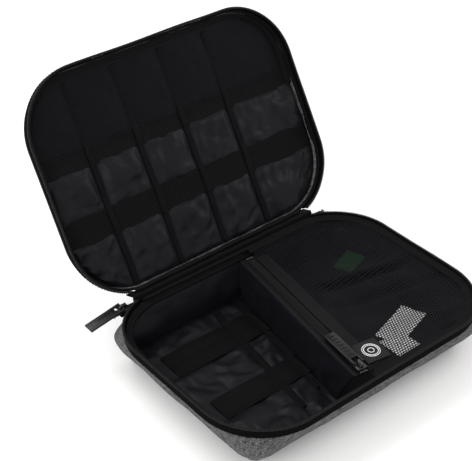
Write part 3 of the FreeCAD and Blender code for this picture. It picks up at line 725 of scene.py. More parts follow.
@dataclass(frozen=True)
class Layout:
    """Places and levels that several pieces share, read from the frame."""

    corner: float = 48.0 * MM
    crease: Outline = Outline(231.0 * MM, 165.0 * MM, 18.0 * MM, 0.0, 28.0 * MM)
    floor_corner: float = 6.0 * MM

    @cached_property
    def rim(self) -> Outline:
        """Outline of the base's zipped rim, at the top of its wall."""
        low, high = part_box("base_side_wall")
        return Outline(high.x - low.x, high.y - low.y, self.corner, 0.0, high.z)

    @cached_property
    def floor(self) -> Outline:
        """Outline of the base's bottom."""
        low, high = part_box("base_bottom_panel")
        grow = 2.6 * MM
        centre = (low.y + high.y) / 2
        return Outline(high.x - low.x + grow, high.y - low.y + grow, self.floor_corner, centre, 0.0)

    @cached_property
    def hinge(self) -> Vector:
        """A point on the lid's axis."""
        return Vector(joint("lid_hinge")["pos_m"])

    @cached_property
    def lid(self) -> Matrix:
        """Frame of the lid: closed on the hinge line, turned open."""
        angle = math.radians(joint("lid_hinge")["range_deg"][0])
        return Matrix.Translation(self.hinge) @ Matrix.Rotation(angle, 4, "X")

    @cached_property
    def lid_rim(self) -> Outline:
        """Outline of the lid's rim in the lid's own frame, at the closing plane."""
        rim = self.rim
        return replace(rim, centre=-self.hinge.y, level=0.0)

    @cached_property
    def pocket(self) -> Matrix:
        """Frame of the pocket's zip: Y along it."""
        along = joint("pocket_slider_travel")["axis"]
        pivot = joint("pocket_puller_pivot")["pos_m"]
        middle = pivot[0] - pivot[1] * along[0] / along[1]
        angle = math.atan2(along[0], along[1])
        return Matrix.Translation((middle, 0.0, 0.0)) @ Matrix.Rotation(-angle, 4, "Z")


LAYOUT = Layout()
IDENTITY = Matrix.Identity(4)


# ------------------------------------------------------------------ base walls


@dataclass
class BaseShell:
    """Heathered outside of the base: boxy walls, a soft crease, and a shoulder up to the round rim."""

    columns: int = 260
    rows: int = 26
    bulge: float = 1.6 * MM

    def level_at(self, share: float) -> Outline:
        """Outline of the wall at a share of its girth."""
        floor = LAYOUT.floor
        crease = LAYOUT.crease
        rim = LAYOUT.rim
        if share < 0.7:
            return floor.blended(crease, share / 0.7)
        return crease.blended(rim.raised(rim.level + 0.6 * MM), (share - 0.7) / 0.3)

    def wall_point(self, around: float, up: float) -> Vector:
        """Point of the outer wall."""
        point, normal = self.level_at(up).matched(around)
        swell = self.bulge * math.sin(math.pi * clamp(up / 0.7)) if up < 0.7 else 0.0
        hold = math.sin(math.pi * clamp(up, 0.0, 0.97))
        slack = ripple(point.x, point.y, 34 * MM, 1.0 + up * 0.8) * 1.3 * MM * hold
        crumple = ripple(point.x * 1.3, point.y * 1.3, 11 * MM, 7.0 + up * 2.5) * 0.45 * MM
        crease = -0.5 * MM * math.exp(-((up - 0.7) / 0.03) ** 2)
        held = ease(up / 0.08) * ease((1.0 - up) / 0.06)
        return self.pinched(point + normal * ((swell + slack + crumple) * held + crease),
                            1.0 - ease(up / 0.7))

    def pinched(self, point: Vector, share: float) -> Vector:
        """Draw the sharp front left corner of the bottom in and up, as the slack cloth hangs there."""
        floor = LAYOUT.floor
        corner = Vector((-floor.width / 2, floor.centre - floor.depth / 2, 0.0))
        near = math.exp(-((point.xy - corner.xy).length / (30 * MM)) ** 2) * share
        return point + Vector((7.5, 7.5, 5.0)) * MM * near

    def build(self) -> None:
        """Make walls, bottom and the piping between them."""
        rim = LAYOUT.rim
        girth = 48 * MM
        bm = cloth_grid(self.columns, self.rows, (rim.length, girth), self.wall_point, closed=True,
                        flip=True)
        shell = Made("base_outer_wall", MELANGE, "base", ["base_side_wall"], thick=0.9 * MM,
                     offset=-1.0).add(bm)
        cut_cloth(shell, flat=(rim.length, girth))
        floor = LAYOUT.floor

        def bottom(u: float, v: float) -> Vector:
            """Point of the bottom panel, drawn up a little inside its edge."""
            point = floor.fit((u - 0.5) * floor.width, (v - 0.5) * floor.depth)
            edge = min(u, 1 - u, v, 1 - v)
            point.z = 0.25 * MM + 0.5 * MM * ease(edge / 0.05) + 0.12 * MM * ripple(point.x, point.y,
                                                                                    30 * MM, 3.0)
            return self.pinched(point, 1.0)

        size = (floor.width, floor.depth)
        panel = Made("base_bottom_cloth", MELANGE, "base", ["base_bottom_panel"], thick=0.6 * MM,
                     offset=-1.0)
        cut_cloth(panel.add(cloth_grid(60, 44, size, bottom, flip=True)), flat=size)
        self.piping("base_floor_piping", floor.raised(1.0 * MM), 0.9 * MM)

    def piping(self, name: str, outline: Outline, radius: float, body: str = "base",
               finish: Finish = MELANGE,
               matrix: Optional[Matrix] = None) -> bpy.types.Object:
        """A covered cord sewn into a seam all round an outline."""

        def place(around: float, turn: float) -> Vector:
            """Point on the cord's skin."""
            point, normal = outline.matched(around)
            if body == "base":
                point = self.pinched(point, 1.0)
            angle = 2 * math.pi * turn
            return point + normal * radius * math.cos(angle) + Vector((0, 0, radius * math.sin(angle)))

        bm = cloth_grid(220, 8, (outline.length, 6 * radius), place, closed=True)
        bmesh.ops.recalc_face_normals(bm, faces=bm.faces[:])
        return Made(name, finish, body, matrix=matrix).add(bm)


@dataclass
class RimZip:
    """Tape, coil and stitches of one half of the rim's zip."""

    prefix: str
    body: str
    outline: Outline
    matrix: Matrix
    tape_low: float
    tape_high: float
    coil_way: float
    gap: float
    pitch: float = 1.55 * MM

    def span(self) -> tuple[float, float]:
        """Distances round the rim at which the zip starts and ends."""
        across = self.outline.width / 2 - self.outline.corner
        angle = math.asin((self.gap - across) / self.outline.corner)
        start = across + angle * self.outline.corner
        return start, self.outline.length - start

    def wander(self, distance: float, rise: float) -> float:
        """How far the soft tape leans in or out."""
        share = clamp((rise - self.tape_low) / (self.tape_high - self.tape_low))
        if self.coil_way < 0:
            share = 1.0 - share
        lean = 0.7 * MM * ripple(distance, 0.0, 45 * MM, 5.0 if self.body == "base" else 9.0)
        return lean * share

    def point(self, distance: float, out: float, rise: float) -> Vector:
        """A point beside the rim, that far out from the outline and at that level."""
        spot, normal = self.outline.walk(distance)
        spot = spot + normal * (out + self.wander(distance, rise))
        return Vector((spot.x, spot.y, rise))

    def build(self) -> None:
        """Make the tape, its coil, the core cord and two rows of stitches."""
        start, end = self.span()
        length = end - start
        height = self.tape_high - self.tape_low

        def tape(u: float, v: float) -> Vector:
            """Point in the middle of the tape's thickness."""
            distance = start + u * length
            puff = 0.35 * MM * math.sin(math.pi * v)
            return self.point(distance, puff - 0.4 * MM, self.tape_low + v * height)

        bm = cloth_grid(230, 6, (length, height), tape, flip=True)
        sheet = Made(f"{self.prefix}_tape_cloth", TAPE, self.body, [f"{self.prefix}_zip_tape"], self.matrix,
                     thick=0.8 * MM).add(bm)
        cut_cloth(sheet, flat=(length, height))

        coil_low, coil_high = corners_of(f"{self.prefix}_zip_coil", self.matrix)
        middle = (coil_low.z + coil_high.z) / 2
        tall = coil_high.z - coil_low.z
        count = int(length / self.pitch)
        unit = bmesh.new()
        box_piece(unit, Vector((-0.42, -1.1, -0.5)) * MM, Vector((0.42, 1.0, 0.5)) * MM, 0.3 * MM, 1)
        bmesh.ops.scale(unit, vec=(1.0, 1.0, tall / (1.0 * MM)), verts=unit.verts[:])
        places = []
        for index in range(count):
            distance = start + (index + 0.5) * self.pitch
            spot, normal = self.outline.walk(distance)
            spot = self.point(distance, 0.1 * MM, middle)
            places.append(path_matrix(spot, normal))
        Made(f"{self.prefix}_coil_teeth", COIL, self.body, [f"{self.prefix}_zip_coil"], self.matrix).add(
            repeat(unit, places))

        self.cord("coil_core", 0.35 * MM, middle - self.coil_way * 0.35 * MM, 0.75 * MM)
        self.stitches("coil_stitches", 0.35 * MM, middle - self.coil_way * 1.9 * MM)
        self.stitches("seam_stitches", 0.35 * MM, self.tape_low + 1.3 * MM if self.coil_way > 0
                      else self.tape_high - 1.3 * MM)

    def cord(self, name: str, out: float, rise: float, radius: float) -> None:
        """A thin cord that runs along the tape."""
        start, end = self.span()

        def place(u: float, v: float) -> Vector:
            """Point on the cord's skin."""
            angle = 2 * math.pi * v
            return self.point(mix(start, end, u), out - 0.4 * MM + radius * math.cos(angle),
                              rise + radius * math.sin(angle))

        bm = cloth_grid(220, 6, (end - start, 6 * radius), place)
        bmesh.ops.remove_doubles(bm, verts=bm.verts[:], dist=1e-6)
        bmesh.ops.holes_fill(bm, edges=bm.edges[:], sides=8)
        bmesh.ops.recalc_face_normals(bm, faces=bm.faces[:])
        Made(f"{self.prefix}_{name}", COIL, self.body, matrix=self.matrix).add(bm)

    def stitches(self, name: str, out: float, rise: float) -> None:
        """A row of stitches on the outer face of the tape, and one on the inner face."""
        start, end = self.span()
        places = []
        for index in range(int((end - start) / (2.6 * MM))):
            distance = start + (index + 0.5) * 2.6 * MM
            for side in (out + 0.05 * MM, out - 1.1 * MM):
                spot, normal = self.outline.walk(distance)
                places.append(path_matrix(self.point(distance, side, rise), normal))
        Made(f"{self.prefix}_{name}", BINDING, self.body, matrix=self.matrix).add(
            repeat(stitch_unit(1.9 * MM, 0.22 * MM), places))


@dataclass
class SeamBinding:
    """Bound seam inside a half: a folded tape with a rounded lip, all round."""

    name: str
    body: str
    outline: Outline
    matrix: Matrix
    stands_for: Sequence[str]
    low: float
    high: float
    near: float
    far: float

    def build(self) -> None:
        """Make the folded tape and its row of stitches."""
        points = [
            (self.near, self.high + 1.4 * MM * self.way),
                  (self.near + 0.5 * MM, self.high + 2.0 * MM * self.way),
            (self.near + 1.3 * MM, self.high + 1.5 * MM * self.way), (mix(self.near, self.far, 0.5),
                                                                      self.high),
            (self.far - 0.4 * MM, self.high), (self.far, mix(self.low, self.high, 0.4)), (self.far,
                                                                                          self.low),
        ]

        def place(u: float, v: float) -> Vector:
            """Point on the folded tape."""
            spot = v * (len(points) - 1)
            index = min(int(spot), len(points) - 2)
            share = spot - index
            inset = mix(points[index][0], points[index + 1][0], share)
            rise = mix(points[index][1], points[index + 1][1], share)
            point, normal = self.outline.matched(u)
            inset += 0.3 * MM * ripple(point.x, point.y, 20 * MM, 13.0)
            return Vector((point.x, point.y, 0.0)) - normal * inset + Vector((0, 0, rise))

        width = abs(self.far - self.near) + 4 * MM
        bm = cloth_grid(260, 12, (self.outline.length, width), place, closed=True)
        Made(self.name, BINDING, self.body, self.stands_for, self.matrix, thick=0.5 * MM, offset=0.0).add(bm)
        ring = self.outline.inset(mix(self.near, self.far, 0.62))
        places = []
        for index in range(int(ring.length / (2.8 * MM))):
            spot, normal = ring.walk((index + 0.5) * 2.8 * MM)
            places.append(path_matrix(Vector((spot.x, spot.y, self.high + 0.35 * MM * self.way)), normal))
        Made(f"{self.name}_stitches", BINDING, self.body, matrix=self.matrix).add(
            repeat(stitch_unit(2.0 * MM, 0.2 * MM), places))

    @property
    def way(self) -> float:
        """+1 where the lip stands up, -1 where it stands down."""
        return 1.0 if self.high > self.low else -1.0


# ------------------------------------------------------------------ base inside


@dataclass
class BaseLining:
    """Charcoal lining of the base: sagging walls and a floor."""

    def build(self) -> None:
        """Make the lining."""
        low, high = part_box("base_lining")
        rim = LAYOUT.rim
        crease = LAYOUT.crease
        inset = 4.3 * MM
        start = LAYOUT.floor.blended(crease, (low.z + 0.8 * MM) / crease.level)
        levels = [start.inset(inset + 2.5 * MM), start.inset(inset), crease.inset(inset), rim.inset(inset)]
        girths = (0.0, 0.08, 0.75, 1.0)

        def place(u: float, v: float) -> Vector:
            """Point of the lining wall, with slack folds."""
            index = next(number for number in range(3) if v <= girths[number + 1] + 1e-9)
            share = (v - girths[index]) / (girths[index + 1] - girths[index])
            point, normal = levels[index].blended(levels[index + 1], share).matched(u)
            held = math.sin(math.pi * clamp(v, 0.02, 1.0))
            slack = 2.5 * MM + abs(ripple(point.x, point.y, 26 * MM, 2.0 + v * 1.2)) * 5.0 * MM
            crumple = ripple(point.x, point.y, 8 * MM, 4.0 + v * 5.0) * 0.4 * MM
            return point - normal * (slack + crumple) * held

        flat = (rim.length, 36 * MM)
        bm = cloth_grid(300, 26, flat, place, closed=True)
        lining = Made("base_lining_wall", LINING, "base", ["base_lining"], thick=0.4 * MM,
                      offset=1.0).add(bm)
        cut_cloth(lining, flat=flat)

        floor = levels[0].inset(-2.0 * MM).raised(low.z + 0.8 * MM)

        def ground(u: float, v: float) -> Vector:
            """Point of the lining's floor."""
            point = floor.fit((u - 0.5) * floor.width, (v - 0.5) * floor.depth)
            point.z += 0.25 * MM * ripple(point.x, point.y, 16 * MM, 6.0) - 0.3 * MM
            return point

        size = (floor.width, floor.depth)
        under = Made("base_lining_floor", LINING, "base", thick=0.4 * MM, offset=-1.0).add(
            cloth_grid(64, 48, size, ground))
        cut_cloth(under, flat=size)


@dataclass
class FloorLoops:
    """Wrinkled floor cloth with two elastics and the strips sewn across them."""

    def build(self) -> None:
        """Make the cloth, the elastics and the strips."""
        low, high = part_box("floor_loop_panel")
        wall_low, _ = corners_of("pocket_divider_wall", LAYOUT.pocket)
        slant = LAYOUT.pocket
        strip_x = [self.strip_line("floor_divider_strip"), self.strip_line("floor_edge_strip")]
        bands = [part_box("rear_floor_elastic"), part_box("front_floor_elastic")]
        top = high.z

        def right_edge(y: float) -> float:
            """Where the slanted pocket wall limits the cloth at that depth."""
            foot = slant @ Vector((wall_low.x, y, 0.0))
            return foot.x - 0.4 * MM

        def place(u: float, v: float) -> Vector:
            """Flat cloth, cut along the slanted wall."""
            y = mix(low.y - 2 * MM, high.y + 2 * MM, v)
            x = mix(low.x - 3 * MM, right_edge(y), u)
            start = 0.8 * MM * ripple(x, y, 20 * MM, 21.0)
            return Vector((x, y, top + start))

        size = (high.x - low.x, high.y - low.y)
        bm = cloth_grid(58, 74, size, place)
        cloth = Made("floor_panel_cloth", LINING, "base", ["floor_loop_panel"], subdivide=1).add(bm)
        smooth = cloth.modifiers["smooth"]
        levels = smooth.levels
        cloth.modifiers.remove(smooth)

        def sewn(point: Vector) -> float:
            """Held at the edges and under the strips, loosely under the elastics."""
            edge = min(point.x - low.x + 3 * MM, right_edge(point.y) - point.x, point.y - low.y + 2 * MM,
                       high.y + 2 * MM - point.y)
            if edge < 1.2 * MM:
                return 1.0
            for x_at in strip_x:
                if abs(point.x - x_at(point.y)) < 1.4 * MM:
                    return 1.0
            for band_low, band_high in bands:
                if band_low.y < point.y < band_high.y:
                    return 0.25
            return 0.0

        settle(cloth, sewn, growth=0.05, cap=7 * MM)
        for vertex in cloth.data.vertices:
            point = vertex.co
            rise = abs(point.z - top) * 1.15
            extra = 1.6 * MM * folds(point.x + 0.4 * point.y, point.y, 26 * MM, 31.0) * (1.0 - sewn(point))
            room = 5.5 * MM
            for band_low, band_high in bands:
                inside = min(point.y - band_low.y, band_high.y - point.y)
                if inside > -1 * MM:
                    room = mix(1.6 * MM, 0.5 * MM, ease((inside + 1 * MM) / (3 * MM)))
            point.z = top + min(rise + extra, room)
        soften(cloth.data, 2)
        rounding = cloth.modifiers.new("smooth", "SUBSURF")
        rounding.levels = levels
        rounding.render_levels = levels
        cut_cloth(cloth, flat=size)

        for name, (band_low, band_high) in zip(("rear_floor_elastic", "front_floor_elastic"), bands):
            self.elastic(name, band_low, band_high, right_edge, strip_x)
        for name, x_at in zip(("floor_divider_strip", "floor_edge_strip"), strip_x):
            self.strip(name, x_at)

    def strip_line(self, node: str) -> Callable[[float], float]:
        """X of a strip's middle at each depth, from its CAD solid's ends."""
        points = [vertex.co for vertex in frame["nodes"][node].data.vertices]
        low_y = min(p.y for p in points)
        high_y = max(p.y for p in points)
        ends = []
        for level in (low_y, high_y):
            near = [p.x for p in points if abs(p.y - level) < 2.5 * MM]
            ends.append(sum(near) / len(near))
        return lambda y: mix(ends[0], ends[1], (y - low_y) / (high_y - low_y))

    def elastic(self, node: str, low: Vector, high: Vector, right_edge: Callable[[float], float],
                strips: Sequence[Callable[[float], float]]) -> None:
        """A ribbed elastic that arches between the places where it is sewn."""
        middle = (low.y + high.y) / 2
        knots = [low.x] + [x_at(middle) for x_at in strips] + [right_edge(middle)]

        def arch(x: float) -> float:
            """Lift between two sewn places."""
            for near, far in zip(knots, knots[1:]):
                if near <= x <= far:
                    return 1.5 * MM * math.sin(math.pi * (x - near) / (far - near)) ** 0.8
            return 0.0

        ribs = 13

        def place(u: float, v: float) -> Vector:
            """Point on top of the elastic."""
            y = mix(low.y, high.y, v)
            x = mix(low.x, right_edge(y) - 0.3 * MM, u)
            edge = ease(min(v, 1 - v) / 0.06)
            ridge = 0.13 * MM * math.cos(2 * math.pi * ribs * v) * edge
            wave = 0.5 * MM * ripple(x, y, 18 * MM, 41.0)
            bow = 0.6 * MM * math.sin(math.pi * clamp((x - low.x) / (knots[-1] - low.x)))
            return Vector((x, y - bow, high.z + 0.1 * MM + arch(x) + ridge + wave * clamp(arch(x) / MM)))

        size = (right_edge(middle) - low.x, high.y - low.y)
        bm = cloth_grid(70, ribs * 4, size, place)
        band = Made(f"{node}_band", ELASTIC, "base", [node], thick=0.8 * MM, offset=-1.0).add(bm)
        cut_cloth(band, flat=size)

    def strip(self, node: str, x_at: Callable[[float], float]) -> None:
        """A woven strip sewn over the elastics."""
        low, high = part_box(node)
        width = 5.6 * MM if node == "floor_divider_strip" else 3.0 * MM

        def place(u: float, v: float) -> Vector:
            """Point on top of the strip."""
            y = mix(low.y, high.y, u)
            x = x_at(y) + (v - 0.5) * width + 0.9 * MM * ripple(0.0, y, 26 * MM, 51.0)
            crown = 0.35 * MM * math.sin(math.pi * v)
            pull = -0.45 * MM + 0.5 * MM * ripple(x, y, 12 * MM, 52.0)
            return Vector((x, y, high.z + crown + pull + 0.5 * MM))

        size = (high.y - low.y, width)
        bm = cloth_grid(90, 8, size, place, flip=True)
        Made(f"{node}_tape", WEBBING, "base", [node], thick=0.6 * MM, offset=-1.0).add(bm)


# ------------------------------------------------------------------ mesh pocket


@dataclass
class MeshPocket:
    """Zipped net pocket on the right of the base, in the slanted frame of its zip."""

    pitch: float = 1.5 * MM
    top: Optional[float] = None

    def build(self) -> None:
        """Make wall, tapes, coils, stops, net, hem and rim binding."""
        self.wall()
        self.tape("pocket_wall_tape", POCKET_TAPE)
        self.tape("pocket_mesh_tape", POCKET_TAPE)
        self.coil("pocket_wall_coil")
        self.coil("pocket_mesh_coil")
        self.stops()
        self.net()
        self.hem()
        self.binding()

    def wall(self) -> None:
        """Slack divider wall below the zip."""
        low, high = corners_of("pocket_divider_wall", LAYOUT.pocket)
        inverse = LAYOUT.pocket.inverted()
        points = [inverse @ vertex.co for vertex in frame["nodes"]["pocket_divider_wall"].data.vertices]
        foot = [point.y for point in points if point.z < low.z + MM]
        front, rear = min(foot), max(foot)

        def place(u: float, v: float) -> Vector:
            """Point of the wall."""
            y = mix(mix(front, rear, u), mix(low.y, high.y, u), v)
            slack = math.sin(math.pi * v)
            x = high.x - 0.6 * MM
            fold = 2.2 * MM * folds(y + v * 0.02, v * 0.03, 34 * MM, 61.0) + 0.8 * MM * ripple(y, v * 0.05,
                                                                                               12 * MM, 62.0)
            x -= slack * (1.2 * MM + fold)
            top = 0.5 * MM * ripple(y, 0.0, 30 * MM, 63.0) * v
            return Vector((x, y, mix(low.z, high.z, v) + top))

        size = (high.y - low.y, high.z - low.z)
        wall = Made("pocket_wall_cloth", LINING, "base", ["pocket_divider_wall"], LAYOUT.pocket, 0.7 * MM
                    ).add(cloth_grid(110, 24, size, place))
        cut_cloth(wall, flat=size)

    def tape(self, node: str, finish: Finish) -> None:
        """One half of the zip's tape, with its welt and a row of stitches."""
        low, high = corners_of(node, LAYOUT.pocket)
        side = 1.0 if low.x + high.x > 0 else -1.0
        inner = min(abs(low.x), abs(high.x)) - 1.6 * MM
        outer = max(abs(low.x), abs(high.x))

        def place(u: float, v: float) -> Vector:
            """Point on top of the tape."""
            y = mix(low.y, high.y, u)
            x = side * mix(inner, outer, v)
            wave = 0.35 * MM * ripple(x, y, 16 * MM, 71.0 + side)
            crown = 0.5 * MM * math.sin(math.pi * clamp((v - 0.35) / 0.65))
            return Vector((x, y, high.z - 0.35 * MM + crown + wave * v))

        size = (high.y - low.y, outer - inner)
        bm = cloth_grid(120, 14, size, place, flip=side > 0)
        piece = Made(f"{node}_cloth", finish, "base", [node], LAYOUT.pocket, 0.5 * MM, offset=-1.0).add(bm)
        cut_cloth(piece, flat=size)
        count = int(size[0] / (2.4 * MM))
        places = [Matrix.Translation((side * (inner + 2.9 * MM), low.y + (index + 0.5) * 2.4 * MM,
                                      high.z + 0.28 * MM))
                  @ Matrix.Rotation(math.pi / 2, 4, "Z") for index in range(count)]
        Made(f"{node}_stitches", POCKET_TAPE, "base", matrix=LAYOUT.pocket).add(
            repeat(stitch_unit(1.7 * MM, 0.2 * MM), places))

    def coil(self, node: str) -> None:
        """One closed half of the coil: looped teeth that reach between those of the other half."""
        low, high = corners_of(node, LAYOUT.pocket)
        side = 1.0 if low.x + high.x > 0 else -1.0
        unit = bmesh.new()
        box_piece(unit, Vector((-0.25 * MM, -0.4 * MM, low.z)), Vector((2.6 * MM, 0.4 * MM,
                                                                        high.z - 0.1 * MM)),
                  0.3 * MM, 1)
        if side < 0:
            bmesh.ops.mirror(unit, geom=unit.verts[:] + unit.edges[:] + unit.faces[:], axis="X",
                             merge_dist=0.0)
            half = [face for face in unit.faces if face.calc_center_median().x > 0.25 * MM]
            bmesh.ops.delete(unit, geom=half, context="FACES")
            bmesh.ops.recalc_face_normals(unit, faces=unit.faces[:])
        start = low.y + (self.pitch / 2 if side < 0 else 0.0) + 0.5 * MM
        count = int((high.y - low.y - 1.2 * MM) / self.pitch)
        places = [Matrix.Translation((0, start + index * self.pitch, 0)) for index in range(count)]
        bm = repeat(unit, places)
        middle = (low.z + high.z) / 2
        box_piece(bm, Vector((min(side * 0.7, side * 2.7) * MM, low.y + 0.3 * MM, middle - 0.5 * MM)),
                  Vector((max(side * 0.7, side * 2.7) * MM, high.y - 0.3 * MM, middle + 0.5 * MM)), 0.2 * MM)
        Made(f"{node}_teeth", COIL, "base", [node], LAYOUT.pocket).add(bm)

    def stops(self) -> None:
        """Small metal stops crimped on the ends of the zip."""
        for node in ("pocket_front_stop", "pocket_rear_stop"):
            low, high = corners_of(node, LAYOUT.pocket)
            bm = bmesh.new()
            box_piece(bm, low, high, 0.4 * MM)
            Made(f"{node}_crimp", ENAMEL, "base", [node], LAYOUT.pocket).add(bm)

    def net(self) -> None:
        """Sagging net panel between the hem and the rim."""
        rim = LAYOUT.rim.inset(1.4 * MM)
        low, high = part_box("pocket_mesh_panel")
        slant = LAYOUT.pocket
        inverse = slant.inverted()
        hem_low, _ = corners_of("pocket_mesh_hem", slant)
        left = hem_low.x + 2.5 * MM

        def reach(v: float) -> tuple[Vector, Vector]:
            """Left and right end of one row of the net."""
            y = mix(low.y + 0.6 * MM, high.y - 0.6 * MM, v)
            start = slant @ Vector((left, (inverse @ Vector((0, y, 0))).y, 0))
            start.y = y
            span = rim.depth / 2 - abs(y)
            across = rim.width / 2
            if span < rim.corner:
                drop = rim.corner - span
                across = rim.width / 2 - rim.corner + math.sqrt(max(rim.corner ** 2 - drop ** 2, 0.0))
            return Vector((start.x, y, 0)), Vector((max(across, start.x + MM), y, 0))

        def place(u: float, v: float) -> Vector:
            """Point of the net."""
            start, end = reach(v)
            point = start.lerp(end, u)
            edge = min(u, 1 - u, v, 1 - v)
            pucker = 0.5 * MM * ripple(u * 0.02, point.y, 5 * MM, 83.0) * math.exp(-edge / 0.08)
            return Vector((point.x, point.y, self.net_level(point.x, point.y) + pucker))

        size = (rim.width / 2 - left, high.y - low.y)
        bm = cloth_grid(110, 130, size, place)
        layer = bm.loops.layers.uv[UV_NAME]
        for face in bm.faces:
            for loop in face.loops:
                loop[layer].uv = (loop.vert.co.x, loop.vert.co.y)
        net = Made("pocket_net", NET, "base", ["pocket_mesh_panel"]).add(bm)
        cut_cloth(net, flat=size)

    def net_level(self, x: float, y: float) -> float:
        """Height of the net at a place, with its sag, long folds and puckers."""
        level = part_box("pocket_mesh_panel")[1].z if self.top is None else self.top
        self.top = level
        rim = LAYOUT.rim
        seam = 14 * MM + y * 0.149
        edge = min((x - seam) / (90 * MM), (rim.width / 2 - x) / (90 * MM),
                   (rim.depth / 2 - abs(y)) / (130 * MM))
        held = ease(edge / 0.12)
        sag = -2.2 * MM * ease(edge / 0.4)
        way = Vector((82 * MM, -19 * MM)).normalized()
        off = (Vector((x, y)) - Vector((14 * MM, 16 * MM))).cross(way)
        fade = ease((x - 8 * MM) / (30 * MM)) * ease((112 * MM - x) / (30 * MM))
        valley = -3.4 * MM * math.exp(-(off / (3.0 * MM)) ** 2) * fade
        crest = 1.8 * MM * math.exp(-((off + 6 * MM) / (4.0 * MM)) ** 2) * fade
        second = -1.6 * MM * math.exp(-((off - 24 * MM) / (4 * MM)) ** 2)
        wave = 1.6 * MM * ripple(x, y, 28 * MM, 81.0) + 0.7 * MM * ripple(x * 0.5, y, 9 * MM, 82.0)
        return level + 0.2 * MM + (sag + valley + crest + second + wave) * held

    def hem(self) -> None:
        """Folded hem of the net, with a ridge along both of its sides."""
        low, high = corners_of("pocket_mesh_hem", LAYOUT.pocket)

        def place(u: float, v: float) -> Vector:
            """Point on top of the hem."""
            y = mix(low.y, high.y, u)
            side = 0.5 * MM * math.exp(-((v - 0.08) / 0.07) ** 2)
            side += 0.4 * MM * math.exp(-((v - 0.9) / 0.07) ** 2)
            drop = -0.9 * MM * ease((v - 0.9) / 0.1) - 0.5 * MM * ease((0.06 - v) / 0.06)
            wave = 0.45 * MM * ripple(v * 0.01, y, 22 * MM, 91.0) + 0.3 * MM * ripple(v * 0.012, y, 7 * MM,
                                                                                      92.0)
            x = mix(low.x, high.x, v) + 0.5 * MM * ripple(0, y, 24 * MM, 93.0) * v
            return Vector((x, y, high.z + side + drop + wave - 0.1 * MM))

        size = (high.y - low.y, high.x - low.x)
        bm = cloth_grid(150, 20, size, place, flip=True)
        hem = Made("pocket_hem_cloth", POCKET_TAPE, "base", ["pocket_mesh_hem"], LAYOUT.pocket, 0.6 * MM,
                   -1.0).add(bm)
        cut_cloth(hem, flat=size)

    def binding(self) -> None:
        """Bound edge of the net round the right half of the rim."""
        low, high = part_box("pocket_edge_binding")
        rim = LAYOUT.rim
        quarter = rim.length / 4
        start = quarter - 92 * MM
        length = 0.0
        inverse = LAYOUT.pocket.inverted()
        spots = [index * MM for index in range(int(rim.length / MM))]
        inside = [spot for spot in spots if (inverse
                                             @ rim.walk(spot)[0]).x > 3 * MM and spot < rim.length * 0.6]
        start = min(inside)
        length = max(inside) - start
        profile = ((1.0, -1.6), (0.7, 0.2), (1.2, 1.0), (2.4, 1.1), (3.6, 0.5), (5.6, 0.35), (6.6, 0.1),
                   (6.9, -0.6))

        def place(u: float, v: float) -> Vector:
            """Point on the folded binding."""
            spot = v * (len(profile) - 1)
            index = min(int(spot), len(profile) - 2)
            share = ease(spot - index)
            inset = mix(profile[index][0], profile[index + 1][0], share) * MM
            rise = mix(profile[index][1], profile[index + 1][1], share) * MM
            point, normal = rim.walk(start + u * length)
            wave = 0.35 * MM * ripple(point.x, point.y, 14 * MM, 95.0)
            base_point = Vector((point.x, point.y, high.z + 0.7 * MM))
            return base_point - normal * (inset + wave) + Vector((0, 0, rise + wave * 0.6))

        width = 9 * MM
        bm = cloth_grid(240, 28, (length, width), place)
        made = Made("pocket_rim_binding", BINDING, "base", ["pocket_edge_binding"], thick=0.5 * MM,
                    offset=-1.0).add(bm)
        cut_cloth(made, flat=(length, width))


